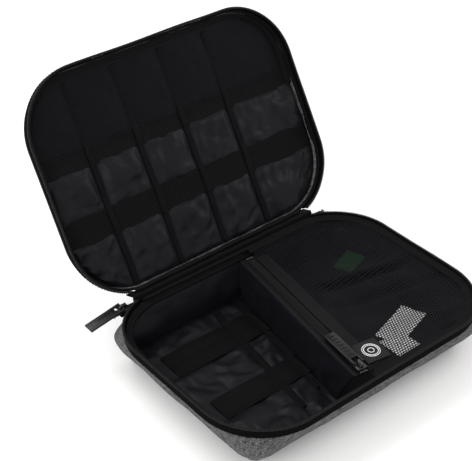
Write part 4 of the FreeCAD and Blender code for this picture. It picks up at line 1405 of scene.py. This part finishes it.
@dataclass
class Labels:
    """Care label, tag and woven label, all with plain generic marks."""

    pocket: MeshPocket

    def build(self) -> None:
        """Make the labels."""
        self.label("care_label", SATIN)
        self.label("care_label_tab", SATIN)
        self.label("inner_tag", GREEN)
        self.woven()

    def frame_of(self, node: str) -> Matrix:
        """Frame of a label: its middle, with X along its longer side."""
        points = [vertex.co for vertex in frame["nodes"][node].data.vertices]
        top = max(point.z for point in points)
        ring = [point for point in points if top - point.z < 0.02 * MM]
        middle = sum(ring, Vector()) / len(ring)
        far = sorted(ring, key=lambda point: (point.x, point.y))
        edges = [far[index] - far[0] for index in range(1, len(far))]
        edges = sorted((edge for edge in edges if edge.length > 5 * MM), key=lambda edge: edge.length)
        along = edges[1] if len(edges) > 2 else edges[-1]
        angle = math.atan2(along.y, along.x)
        return Matrix.Translation((middle.x, middle.y, top)) @ Matrix.Rotation(angle, 4, "Z")

    def label(self, node: str, finish: Finish) -> None:
        """A limp blank label under the net."""
        matrix = self.frame_of(node)
        low, high = corners_of(node, matrix)
        size = (high.x - low.x, high.y - low.y)

        gap = 0.9 * MM if node == "care_label_tab" else 0.5 * MM

        def place(u: float, v: float) -> Vector:
            """Point on the label, pressed up against the net from below."""
            x = mix(low.x, high.x, u)
            y = mix(low.y, high.y, v)
            spot = matrix @ Vector((x, y, 0.0))
            level = self.pocket.net_level(spot.x, spot.y) - gap - 0.3 * MM * abs(ripple(x, y, 9 * MM, 3.0))
            return Vector((x, y, level - matrix.translation.z))

        bm = cloth_grid(24, 14, size, place)
        piece = Made(f"{node}_cloth", finish, "base", [node], matrix, 0.25 * MM, -1.0).add(bm)
        cut_cloth(piece, flat=size)

    def woven(self) -> None:
        """Woven label on the hem, with a plain ring motif."""
        slant = LAYOUT.pocket
        low, high = corners_of("woven_label", slant)
        size = (high.x - low.x, high.y - low.y)
        middle = (low + high) / 2

        def height(x: float, y: float) -> float:
            """Level of the label's top."""
            return high.z + 0.75 * MM + 0.35 * MM * ripple(x, y, 16 * MM, 4.0)

        def place(u: float, v: float) -> Vector:
            """Point on the label."""
            x = mix(low.x, high.x, u)
            y = mix(low.y, high.y, v)
            edge = ease(min(u, 1 - u, v, 1 - v) / 0.05)
            return Vector((x, y, height(x, y) - 0.25 * MM * (1 - edge)))

        bm = cloth_grid(30, 30, size, place)
        piece = Made("woven_label_cloth", WOVEN, "base", ["woven_label"], slant, 0.4 * MM, -1.0).add(bm)
        cut_cloth(piece, flat=size)
        stitch = stitch_unit(1.5 * MM, 0.32 * MM)
        places = []
        reach = min(size) * 0.33
        for radius, share in ((reach, 1.0), (reach * 0.80, 1.0), (reach * 0.35, 1.0)):
            count = int(2 * math.pi * radius / (1.15 * MM))
            for index in range(count):
                angle = 2 * math.pi * index / count * share
                x = middle.x + radius * math.cos(angle)
                y = middle.y + radius * math.sin(angle)
                places.append(Matrix.Translation((x, y, height(x, y) + 0.06 * MM))
                              @ Matrix.Rotation(angle + math.pi / 2, 4, "Z"))
        Made("woven_label_motif", SATIN, "base", matrix=slant).add(repeat(stitch, places))


# ------------------------------------------------------------------ sliders and zip ends


@dataclass
class Slider:
    """Zip slider with its bail, and the long pull tab on it."""

    slider: str
    bail: str
    body: str
    puller: str
    puller_body: str
    heading: float
    droop: float
    pin: Vector

    @property
    def matrix(self) -> Matrix:
        """Frame of the slider: X along its zip, towards the pin."""
        points = [vertex.co for vertex in frame["nodes"][self.slider].data.vertices]
        low = Vector(min(point[axis] for point in points) for axis in range(3))
        high = Vector(max(point[axis] for point in points) for axis in range(3))
        middle = (low + high) / 2
        return Matrix.Translation(middle) @ Matrix.Rotation(self.heading, 4, "Z")

    def build(self) -> None:
        """Make slider, bail and pull tab."""
        matrix = self.matrix
        low, high = corners_of(self.slider, matrix)
        bm = bmesh.new()
        plate = 0.9 * MM
        for bottom, top in ((low.z, low.z + plate), (high.z - plate, high.z)):
            box_piece(bm, Vector((low.x, low.y, bottom)), Vector((high.x, high.y, top)), 0.4 * MM, 3)
        box_piece(bm, Vector((-0.8 * MM, -0.25 * MM, low.z + 0.3 * MM)),
                  Vector((1.8 * MM, 0.25 * MM, high.z - 0.3 * MM)), 0.1 * MM)
        Made(f"{self.slider}_shell", ENAMEL, self.body, [self.slider], matrix).add(bm)
        low, high = corners_of(self.bail, matrix)
        bm = bmesh.new()
        self.arch(bm, low, high, 0.8 * MM)
        Made(f"{self.bail}_arch", ENAMEL, self.body, [self.bail], matrix).add(bm)
        self.tab()

    def arch(self, bm: bmesh.types.BMesh, low: Vector, high: Vector, wire: float) -> None:
        """A strap that rises from the slider, crosses over and comes down."""
        knots = ((low.x + wire / 2, low.z), (low.x + wire / 2, high.z - 1.6 * MM), (low.x + 1.2 * MM,
                                                                                    high.z - wire / 2),
                 (high.x - 1.2 * MM, high.z - wire / 2), (high.x - wire / 2, high.z - 1.6 * MM),
                 (high.x - wire / 2, low.z))
        rings = []
        for index, (x, z) in enumerate(knots):
            before = knots[max(index - 1, 0)]
            after = knots[min(index + 1, len(knots) - 1)]
            way = Vector((after[0] - before[0], 0, after[1] - before[1])).normalized()
            out = Vector((-way.z, 0, way.x))
            ring = []
            for side, rise in ((-1, -1), (1, -1), (1, 1), (-1, 1)):
                spot = Vector((x, side * (high.y - low.y) / 2, z)) + out * rise * wire / 2
                ring.append(bm.verts.new(spot))
            rings.append(ring)
        for near, far in zip(rings, rings[1:]):
            for corner in range(4):
                after = (corner + 1) % 4
                bm.faces.new((near[corner], near[after], far[after], far[corner]))
        bm.faces.new(rings[0][::-1])
        bm.faces.new(rings[-1])
        bmesh.ops.recalc_face_normals(bm, faces=bm.faces[:])
        sharp = [edge for edge in bm.edges if edge.calc_face_angle(0.0) > 1.2]
        bmesh.ops.bevel(bm, geom=sharp, offset=0.2 * MM, segments=2, profile=0.5, affect="EDGES",
                        material=-1)

    def tab(self) -> None:
        """The pull tab: two arms on the pin, a thick rimmed blade with raised grips."""
        matrix = (Matrix.Translation(self.pin) @ Matrix.Rotation(self.heading, 4, "Z")
                  @ Matrix.Rotation(math.radians(self.droop), 4, "Y"))
        low, high = corners_of(self.puller, matrix)
        start = 5.4 * MM
        edge = 0.55 * MM
        bm = bmesh.new()
        for side in (-1, 1):
            near = high.y - 1.9 * MM if side > 0 else low.y
            far = high.y if side > 0 else low.y + 1.9 * MM
            box_piece(bm, Vector((low.x, near, low.z)), Vector((start + 1.2 * MM, far, high.z)), edge, 3)
        box_piece(bm, Vector((-0.5 * MM, low.y + 0.4 * MM, -0.5 * MM)), Vector((0.5 * MM, high.y - 0.4 * MM,
                                                                                0.5 * MM)),
                  0.3 * MM, 2)
        box_piece(bm, Vector((start, low.y, low.z)), Vector((high.x, high.y, high.z)), edge, 3)
        box_piece(bm, Vector((start + 2.2 * MM, low.y + 1.7 * MM, high.z - 0.25 * MM)),
                  Vector((high.x - 2.0 * MM, high.y - 1.7 * MM, high.z + 0.25 * MM)), 0.2 * MM)
        count = 7
        for index in range(count):
            x = mix(start + 4.0 * MM, high.x - 4.0 * MM, index / (count - 1))
            box_piece(bm, Vector((x - 0.45 * MM, low.y + 2.3 * MM, high.z + 0.1 * MM)),
                      Vector((x + 0.45 * MM, high.y - 2.3 * MM, high.z + 0.6 * MM)), 0.2 * MM)
        Made(f"{self.puller}_tab", PULLER, self.puller_body, [self.puller], matrix).add(bm)


@dataclass
class ZipEnd:
    """The closed tail of the rim's zip at one end of the hinge."""

    side: str
    way: float

    def build(self) -> None:
        """Make the tail's tape, its teeth and its stop."""
        node = f"{self.side}_zip_end"
        stop = f"{self.side}_end_stop"
        stop_low, stop_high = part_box(stop)
        middle = (stop_low + stop_high) / 2
        matrix = Matrix.Translation((0, middle.y,
                                     middle.z)) @ Matrix.Rotation(0 if self.way > 0 else math.pi, 4, "Z")
        low, high = corners_of(node, matrix)
        length = high.x - low.x
        unit = bmesh.new()
        box_piece(unit, Vector((-0.45, -2.6, -1.2)) * MM, Vector((0.45, 2.6, 1.2)) * MM, 0.35 * MM, 1)
        pitch = 1.35 * MM
        start = 89.5 * MM
        places = [Matrix.Translation((start + index * pitch, 0,
                                      0)) for index in range(int((high.x - start) / pitch))]
        bm = repeat(unit, places)
        box_piece(bm, Vector((start - 1 * MM, -2.0 * MM, -0.8 * MM)), Vector((high.x, 2.0 * MM, 0.8 * MM)),
                  0.4 * MM)
        Made(f"{node}_teeth", COIL, "base", [node], matrix).add(bm)

        def place(u: float, v: float) -> Vector:
            """Point on the tape under the teeth."""
            x = mix(low.x, start + 1 * MM, u)
            y = mix(-3.0, 3.0, v) * MM
            return Vector((x, y, 0.35 * MM * ripple(x, y, 8 * MM, 5.0) - 0.1 * MM))

        size = (start + 1 * MM - low.x, 6 * MM)
        tape = Made(f"{node}_tape", TAPE, "base", matrix=matrix, thick=0.7 * MM).add(cloth_grid(20, 8, size,
                                                                                                place))
        cut_cloth(tape, flat=size)
        low, high = corners_of(stop, matrix)
        bm = bmesh.new()
        box_piece(bm, low, high, 0.45 * MM, 3)
        Made(f"{stop}_crimp", STEEL, "base", [stop], matrix).add(bm)


# ------------------------------------------------------------------ lid


@dataclass
class LidShell:
    """Heathered outside of the lid: a shallow pan with a softly padded top."""

    girth: float = 10.2 * MM

    def build(self) -> None:
        """Make the wall, the top and the seam between them."""
        matrix = LAYOUT.lid
        rim = LAYOUT.lid_rim
        low, high = corners_of("lid_side_wall", matrix)
        top = high.z
        taper = 5.6 * MM
        start = rim.inset(2.0 * MM).raised(low.z - 0.3 * MM)
        end = rim.inset(taper).raised(top - 1.6 * MM)

        def wall(u: float, v: float) -> Vector:
            """Point of the wall, rolled inwards to the piping at its top."""
            point, normal = start.blended(end, v).matched(u)
            bulge = 0.9 * MM * math.sin(math.pi * v) + 0.5 * MM * ripple(point.x, point.y, 24 * MM,
                                                                         101.0) * (1 - v)
            tuck = -1.2 * MM * ease((v - 0.85) / 0.15)
            return point + normal * (bulge + tuck)

        flat = (rim.length, self.girth)
        bm = cloth_grid(240, 10, flat, wall, closed=True, flip=True)
        made = Made("lid_outer_wall", MELANGE, "lid", ["lid_side_wall"], matrix, 0.8 * MM, -1.0).add(bm)
        cut_cloth(made, flat=flat)
        cord = rim.inset(taper + 1.6 * MM).raised(top - 1.3 * MM)
        BaseShell().piping("lid_top_piping", cord, 1.3 * MM, "lid", MELANGE, matrix)
        face = rim.inset(taper + 2.6 * MM)

        def panel(u: float, v: float) -> Vector:
            """Point of the padded top."""
            point = face.fit((u - 0.5) * face.width, (v - 0.5) * face.depth)
            edge = min(u, 1 - u, v, 1 - v)
            crown = 2.0 * MM * ease(edge / 0.16) - 0.8 * MM
            dents = 0.7 * MM * ripple(point.x, point.y, 70 * MM, 111.0) * ease(edge / 0.1)
            pucker = 0.25 * MM * ripple(point.x, point.y, 7 * MM, 112.0) * (1 - ease(edge / 0.09))
            return Vector((point.x, point.y, top - 1.0 * MM + crown + dents + pucker))

        size = (face.width, face.depth)
        bm = cloth_grid(120, 90, size, panel)
        made = Made("lid_top_cloth", MELANGE, "lid", ["lid_top_panel"], matrix, 0.7 * MM, -1.0).add(bm)
        cut_cloth(made, flat=size)


@dataclass
class LidInside:
    """Organizer side of the lid: puffy lining, two elastics, net pockets and the strips that divide them."""

    strips: tuple[str, ...] = ("lid_divider_strip_1", "lid_divider_strip_2", "lid_divider_strip_3",
                               "lid_divider_strip_4")
    matrix: Matrix = field(init=False)
    face: float = field(init=False)
    lines: list[float] = field(init=False)
    loop: tuple[Vector, Vector] = field(init=False)
    hem: tuple[Vector, Vector] = field(init=False)
    ring: Outline = field(init=False)

    def build(self) -> None:
        """Make the lining, side lining, elastics, net, binding and strips."""
        matrix = LAYOUT.lid
        self.matrix = matrix
        self.face = corners_of("lid_lining_panel", matrix)[0].z
        boxes = [corners_of(name, matrix) for name in self.strips]
        self.lines = [(low.x + high.x) / 2 for low, high in boxes]
        self.loop = corners_of("lid_loop_elastic", matrix)
        self.hem = corners_of("lid_mesh_hem", matrix)
        self.ring = LAYOUT.lid_rim.inset(3.6 * MM)
        self.lining()
        self.side_lining()
        self.elastic("lid_loop_elastic", self.loop, 12)
        self.elastic("lid_mesh_hem", self.hem, 8)
        self.net()
        self.net_binding()
        for name in self.strips:
            self.strip(name)

    def knots(self) -> list[float]:
        """Places across the lid where everything is sewn down."""
        return [-self.ring.width / 2] + self.lines + [self.ring.width / 2]

    def cell(self, x: float) -> float:
        """Share of the way across the cell, from 0 to 1."""
        for near, far in zip(self.knots(), self.knots()[1:]):
            if near <= x <= far:
                return (x - near) / (far - near)
        return 0.0

    def lining(self) -> None:
        """Cloth that puffs and creases in each cell, made by simulation."""
        ring = self.ring
        face = self.face

        def place(u: float, v: float) -> Vector:
            """Point of the flat lining."""
            point = ring.fit((u - 0.5) * ring.width, (v - 0.5) * ring.depth)
            point.z = face + 1.0 * MM * ripple(point.x, point.y, 24 * MM, 121.0)
            return point

        size = (ring.width, ring.depth)
        bm = cloth_grid(112, 82, size, place, flip=True)
        cloth = Made("lid_lining_cloth", LINING, "lid", ["lid_lining_panel"]).add(bm)
        half = size[0] / 112

        def sewn(point: Vector) -> float:
            """Held at the edge and under the strips, loosely under the elastics."""
            reach_x = ring.width / 2 - abs(point.x)
            reach_y = ring.depth / 2 - abs(point.y - ring.centre)
            if min(reach_x, reach_y) < 1.2 * MM:
                return 1.0
            over_x = max(0.0, ring.corner - reach_x)
            over_y = max(0.0, ring.corner - reach_y)
            if over_x > 0 and over_y > 0 and math.hypot(over_x, over_y) > ring.corner - 1.5 * MM:
                return 1.0
            if any(abs(point.x - line) < half * 0.75 for line in self.lines):
                return 1.0
            for low, high in (self.loop, self.hem):
                if low.y + 2 * MM < point.y < high.y - 2 * MM:
                    return 0.3
            return 0.0

        settle(cloth, sewn, growth=0.05, cap=8 * MM, pressure=0.15)
        for vertex in cloth.data.vertices:
            point = vertex.co
            free = 1.0 - sewn(point)
            puff = 1.8 * MM * math.sin(math.pi * self.cell(point.x)) * free
            lean = point.x + 0.5 * point.y
            crest = 2.4 * MM * folds(lean, point.y * 0.6, 26 * MM, 125.0) * free
            crest += 1.3 * MM * folds(lean * 1.3, point.y, 14 * MM, 127.0) * free
            rise = abs(face - point.z) * 0.9 + puff * 0.7 + crest
            room = 5.2 * MM
            for low, high in (self.loop, self.hem):
                inside = min(point.y - low.y, high.y - point.y)
                if inside > -1 * MM:
                    room = mix(room, 0.5 * MM, ease((inside + 1 * MM) / (3 * MM)))
            if point.y < self.hem[0].y:
                room = 0.1 * MM
            beside = min(abs(point.x - line) for line in self.lines)
            rise *= ease((beside - 1.5 * MM) / (7 * MM))
            point.z = face - min(rise, room)
        soften(cloth.data, 1)
        rounding = cloth.modifiers.new("smooth", "SUBSURF")
        rounding.levels = 1
        rounding.render_levels = 1
        self.turn(cloth)
        cut_cloth(cloth, flat=size)

    def turn(self, piece: bpy.types.Object) -> None:
        """Put a piece that was shaped in the lid's frame into its open place."""
        piece.data.transform(self.matrix)
        piece.data.update()

    def side_lining(self) -> None:
        """Cloth between the rim's seam and the lining."""
        outer = LAYOUT.lid_rim.inset(1.9 * MM).raised(7.6 * MM)
        inner = self.ring.raised(self.face)

        def place(u: float, v: float) -> Vector:
            """Point of the gusset."""
            point, normal = outer.blended(inner, v).matched(u)
            bag = math.sin(math.pi * v)
            return point + normal * 0.8 * MM * bag * (0.6 + ripple(point.x, point.y, 12 * MM, 131.0))

        width = 5 * MM
        flat = (outer.length, width)
        bm = cloth_grid(240, 8, (outer.length, width), place, closed=True)
        made = Made("lid_gusset_cloth", BINDING, "lid", ["lid_side_lining"], self.matrix, 0.4 * MM).add(bm)
        cut_cloth(made, flat=flat)

    def elastic(self, node: str, box: tuple[Vector, Vector], ribs: int) -> None:
        """A ribbed elastic, arched a little in each cell."""
        low, high = box
        level = low.z

        def place(u: float, v: float) -> Vector:
            """Point on the face of the elastic."""
            x = mix(low.x, high.x, u)
            y = mix(low.y, high.y, v)
            edge = ease(min(v, 1 - v) / 0.06)
            arch = 1.1 * MM * ease(math.sin(math.pi * self.cell(x)))
            ridge = 0.14 * MM * math.cos(2 * math.pi * ribs * v) * edge
            wave = 0.45 * MM * ripple(x, y, 15 * MM, 141.0)
            bow = 0.7 * MM * ripple(x, 0.0, 24 * MM, 142.0)
            return Vector((x, y + bow, level - arch - ridge - wave * clamp(arch / MM)))

        size = (high.x - low.x, high.y - low.y)
        bm = cloth_grid(130, ribs * 4, size, place, flip=True)
        made = Made(f"{node}_band", ELASTIC, "lid", [node], self.matrix, 0.8 * MM, -1.0).add(bm)
        cut_cloth(made, flat=size)

    def net(self) -> None:
        """Net pockets above the second elastic."""
        low, high = corners_of("lid_mesh_panel", self.matrix)
        ring = LAYOUT.lid_rim.inset(5.5 * MM)
        top = self.hem[0].y + 2.5 * MM
        far = ring.centre - ring.depth / 2

        def place(u: float, v: float) -> Vector:
            """Point of the net, slack in each cell."""
            y = mix(top, far, v)
            reach = y - far
            across = ring.width / 2
            if reach < ring.corner:
                drop = ring.corner - reach
                across += math.sqrt(max(ring.corner ** 2 - drop ** 2, 0.0)) - ring.corner
            x = (2 * u - 1) * across
            bag = math.sin(math.pi * self.cell(x)) * math.sin(math.pi * clamp(0.15 + 0.85 * v))
            wave = 1.3 * MM * ripple(x, y, 18 * MM, 151.0) + 0.4 * MM * ripple(x, y, 7 * MM, 152.0)
            return Vector((x, y, low.z - 0.2 * MM - 2.2 * MM * bag - (wave + 0.6 * MM) * clamp(bag * 2)))

        size = (ring.width, top - far)
        bm = cloth_grid(150, 46, size, place, flip=False)
        layer = bm.loops.layers.uv[UV_NAME]
        for face in bm.faces:
            for loop in face.loops:
                loop[layer].uv = (loop.vert.co.x, loop.vert.co.y)
        made = Made("lid_net", NET, "lid", ["lid_mesh_panel"], self.matrix).add(bm)
        cut_cloth(made, flat=size)

    def net_binding(self) -> None:
        """Bound edge of the net pockets, in the corner between lining and gusset."""
        low, high = corners_of("lid_mesh_binding", self.matrix)
        rim = LAYOUT.lid_rim
        spots = [index * MM for index in range(int(rim.length / MM))]
        inside = [spot for spot in spots if rim.walk(spot)[0].y < self.hem[1].y]
        start = min(inside)
        length = max(inside) - start
        profile = ((2.4, 0.3), (2.6, -1.0), (3.4, -1.5), (4.4, -1.2), (5.2, -0.5), (6.6, -0.4), (7.0, 0.2))

        def place(u: float, v: float) -> Vector:
            """Point on the folded binding."""
            spot = v * (len(profile) - 1)
            index = min(int(spot), len(profile) - 2)
            share = ease(spot - index)
            inset = mix(profile[index][0], profile[index + 1][0], share) * MM
            rise = mix(profile[index][1], profile[index + 1][1], share) * MM
            point, normal = rim.walk(start + u * length)
            wave = 0.4 * MM * ripple(point.x, point.y, 13 * MM, 161.0)
            return Vector((point.x, point.y, low.z + rise)) - normal * (inset + wave)

        width = 8 * MM
        bm = cloth_grid(220, 24, (length, width), place, flip=True)
        made = Made("lid_net_binding", BINDING, "lid", ["lid_mesh_binding"], self.matrix, 0.4 * MM,
                    -1.0).add(bm)
        cut_cloth(made, flat=(length, width))

    def strip(self, node: str) -> None:
        """A woven strip that runs over the elastics from seam to seam."""
        low, high = corners_of(node, self.matrix)
        low.y -= 7 * MM
        high.y += 3 * MM

        def place(u: float, v: float) -> Vector:
            """Point on the face of the strip."""
            y = mix(low.y, high.y, u)
            x = mix(low.x + 0.7 * MM, high.x - 0.7 * MM, v) + 1.0 * MM * ripple(low.x, y, 40 * MM, 171.0)
            crown = 0.4 * MM * math.sin(math.pi * v)
            sink = 0.3 * MM
            for band_low, band_high in (self.loop, self.hem):
                inside = min(y - band_low.y, band_high.y - y)
                sink -= 0.7 * MM * ease((inside + 2 * MM) / (4 * MM))
            return Vector((x, y, low.z - crown + sink + 0.3 * MM * ripple(x, y, 10 * MM, 172.0)))

        size = (high.y - low.y, high.x - low.x)
        bm = cloth_grid(120, 8, size, place)
        Made(f"{node}_tape", WEBBING, "lid", [node], self.matrix, 0.6 * MM, -1.0).add(bm)


# ------------------------------------------------------------------ spine


@dataclass
class Spine:
    """Cloth of the hinge: a folded strip, shaped round the hinge at the lid's open angle."""

    def build(self) -> None:
        """Make the outer cloth and the two bound edges on its inside."""
        low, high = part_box("spine_base_strip")
        fold_low, fold_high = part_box("spine_fold")
        hinge = LAYOUT.hinge
        matrix = LAYOUT.lid
        lid_low, lid_high = corners_of("spine_lid_strip", matrix)
        reach = (high.x - low.x) / 2
        rim_y = LAYOUT.rim.depth / 2
        base_foot = Vector((0, rim_y - 0.6 * MM, low.z - 1.0 * MM))
        base_knee = Vector((0, hinge.y - 0.6 * MM, hinge.z - 3.0 * MM))
        lid_knee = matrix @ Vector((0, -0.6 * MM, 3.0 * MM))
        lid_foot = matrix @ Vector((0, -1.8 * MM, lid_high.z + 1.0 * MM))
        path = [base_foot, base_foot.lerp(base_knee, 0.5), base_knee, hinge.copy(), lid_knee,
                lid_knee.lerp(lid_foot, 0.5), lid_foot]
        for point in path:
            point.x = 0.0

        def at(share: float, x: float) -> Vector:
            """Point of the smooth section through the hinge."""
            spot = clamp(share) * (len(path) - 1)
            index = min(int(spot), len(path) - 2)
            part = spot - index
            before = path[max(index - 1, 0)]
            after = path[min(index + 2, len(path) - 1)]
            near, far = path[index], path[index + 1]
            point = 0.5 * ((2 * near) + (far - before) * part + (2 * before - 5 * near + 4 * far
                                                                 - after) * part ** 2
                           + (3 * near - before - 3 * far + after) * part ** 3)
            wave = 0.35 * MM * ripple(x, share * 0.02, 12 * MM, 181.0)
            return Vector((x, point.y + wave, point.z + wave))

        width = 2 * reach
        length = sum((far - near).length for near, far in zip(path, path[1:]))

        def place(u: float, v: float) -> Vector:
            """Point on the strip, rounded back at its ends."""
            x = mix(-reach, reach, u)
            return at(v, x)

        bm = cloth_grid(110, 30, (width, length), place)
        cloth = Made("spine_cloth", BINDING, None, ["spine_base_strip", "spine_lid_strip", "spine_fold"],
                     thick=0.9 * MM).add(bm)
        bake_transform(cloth)
        cut_cloth(cloth, flat=(width, length))
        for name, body, spot, matrix_of in (("spine_base_welt", "base", Vector((0, hinge.y - 3.2 * MM,
                                                                                hinge.z - 3.4 * MM)),
                                             IDENTITY), ("spine_lid_welt", "lid", Vector((0, -3.0 * MM,
                                                                                          3.6 * MM)),
                                                         matrix)):
            self.welt(name, body, spot, matrix_of, reach - 6 * MM)

    def welt(self, name: str, body: str, spot: Vector, matrix: Matrix, reach: float) -> None:
        """A rolled bound edge along the hinge."""

        def place(u: float, v: float) -> Vector:
            """Point on the roll's skin."""
            x = mix(-reach, reach, u)
            angle = 2 * math.pi * v
            radius = 1.7 * MM * (0.55 + 0.45 * ease(min(u, 1 - u) / 0.03))
            wave = 0.5 * MM * ripple(x, 0.0, 16 * MM, 191.0 + spot.z * 100)
            return Vector((x, spot.y + radius * math.cos(angle) + wave,
                           spot.z + 0.8 * radius * math.sin(angle)))

        bm = cloth_grid(120, 10, (2 * reach, 9 * MM), place)
        bmesh.ops.remove_doubles(bm, verts=bm.verts[:], dist=1e-6)
        bmesh.ops.holes_fill(bm, edges=bm.edges[:], sides=12)
        bmesh.ops.recalc_face_normals(bm, faces=bm.faces[:])
        Made(name, BINDING, body, matrix=matrix).add(bm)


# ------------------------------------------------------------------ stage


@dataclass(frozen=True)
class Lamp:
    """A soft studio light."""

    name: str
    place: tuple[float, float, float]
    target: tuple[float, float, float]
    size: float
    power: float

    def build(self) -> None:
        """Make the light."""
        data = bpy.data.lights.new(self.name, "AREA")
        data.shape = "DISK"
        data.size = self.size
        data.energy = self.power
        lamp = bpy.data.objects.new(self.name, data)
        lamp.location = self.place
        lamp.rotation_euler = (Vector(self.target) - Vector(self.place)).to_track_quat("-Z", "Y").to_euler()
        bpy.context.scene.collection.objects.link(lamp)


@dataclass
class Studio:
    """Plain white floor, soft lights, and a camera at the right angle."""

    position: tuple[float, float, float] = (-0.4695, -0.4946, 0.5995)
    target: tuple[float, float, float] = (-0.03568, 0.04959, 0.1115)
    roll: float = -0.0084

    def build(self) -> None:
        """Make floor, world, lights and camera."""
        bm = bmesh.new()
        bmesh.ops.create_grid(bm, x_segments=1, y_segments=1, size=6.0)
        mesh = bpy.data.meshes.new("floor")
        bm.to_mesh(mesh)
        bm.free()
        material = bpy.data.materials.new("studio_white")
        material.use_nodes = True
        graph = Graph(material.node_tree)
        shader = next(node for node in material.node_tree.nodes if node.type == "BSDF_PRINCIPLED")
        shader.inputs["Base Color"].default_value = (0.93, 0.925, 0.92, 1.0)
        shader.inputs["Roughness"].default_value = 0.9
        shader.inputs["Specular IOR Level"].default_value = 0.1
        mesh.materials.append(material)
        floor = bpy.data.objects.new("floor", mesh)
        bpy.context.scene.collection.objects.link(floor)
        floor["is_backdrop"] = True
        LOG.info("floor: %d nodes", len(graph.tree.nodes))
        world = bpy.data.worlds.new("studio")
        world.use_nodes = True
        background = world.node_tree.nodes["Background"]
        background.inputs["Color"].default_value = (1.0, 1.0, 1.0, 1.0)
        background.inputs["Strength"].default_value = 0.95
        bpy.context.scene.world = world
        centre = (0.0, 0.0, 0.05)
        for lamp in (
            Lamp("key_light", (-0.25, 0.75, 1.15), centre, 0.9, 9.0),
            Lamp("fill_light", (-1.2, -0.5, 0.8), centre, 0.8, 8.0),
            Lamp("side_light", (1.0, -0.3, 0.8), centre, 0.6, 3.0),
        ):
            lamp.build()
        data = bpy.data.cameras.new("camera")
        data.sensor_width = 36.0
        data.lens = 94.24
        data.shift_x = 0.0370
        data.shift_y = -0.0283
        camera = bpy.data.objects.new("camera", data)
        camera.location = self.position
        way = Vector(self.target) - Vector(self.position)
        facing = way.to_track_quat("-Z", "Y").to_matrix() @ Matrix.Rotation(self.roll, 3, "Z")
        camera.rotation_euler = facing.to_euler()
        bpy.context.scene.collection.objects.link(camera)
        bpy.context.scene.camera = camera
        bpy.context.scene.view_settings.view_transform = "Standard"


# ------------------------------------------------------------------ whole object


@dataclass
class Pouch:
    """The whole organizer, sub-assembly by sub-assembly."""

    def build(self) -> None:
        """Make every visible piece."""
        rim = LAYOUT.rim
        lid_rim = LAYOUT.lid_rim
        lid = LAYOUT.lid
        BaseShell().build()
        tape_low, tape_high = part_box("base_zip_tape")
        RimZip("base", "base", rim, IDENTITY, tape_low.z - 0.4 * MM, tape_high.z, 1.0, 84.0 * MM).build()
        low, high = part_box("base_seam_binding")
        SeamBinding("base_seam_fold", "base", rim, IDENTITY, ["base_seam_binding"], low.z - 0.8 * MM, high.z,
                    1.0 * MM, 5.6 * MM).build()
        BaseLining().build()
        FloorLoops().build()
        pocket = MeshPocket()
        pocket.build()
        Labels(pocket).build()
        LidShell().build()
        low, high = corners_of("lid_zip_tape", lid)
        RimZip("lid", "lid", lid_rim, lid, low.z, high.z + 0.4 * MM, -1.0, 84.0 * MM).build()
        low, high = corners_of("lid_seam_binding", lid)
        SeamBinding("lid_seam_fold", "lid", lid_rim, lid, ["lid_seam_binding"], high.z + 0.8 * MM, low.z,
                    1.0 * MM, 2.6 * MM).build()
        LidInside().build()
        Spine().build()
        for side, way in (("left", -1.0), ("right", 1.0)):
            ZipEnd(side, way).build()
        Slider("left_main_slider", "left_main_slider_bail", "left_slider", "left_main_puller", "left_puller",
               math.pi,
               10.0, Vector(joint("left_puller_pivot")["pos_m"])).build()
        along = joint("pocket_slider_travel")["axis"]
        Slider("pocket_slider", "pocket_slider_bail", "pocket_slider_body", "pocket_puller",
               "pocket_puller_body",
               math.atan2(along[1], along[0]), 2.5, Vector(joint("pocket_puller_pivot")["pos_m"])).build()
        for node in ("base_floor_foam", "base_side_foam", "lid_foam_board"):
            foam = frame["nodes"][node]
            foam.data.materials.clear()
            foam.data.materials.append(FOAM.material())


def write_sizes() -> None:
    low, high = (tuple(corner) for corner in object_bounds())
    cad_low, cad_high = (tuple(corner) for corner in CAD_BOX)
    boxes = {"cad": [list(cad_low), list(cad_high)], "visual": [list(low), list(high)]}


def main() -> None:
    """Build the object and its studio."""
    logging.basicConfig(level=logging.INFO, format="%(message)s")
    Pouch().build()
    Studio().build()
    write_sizes()


if __name__ == "__main__":
    main()
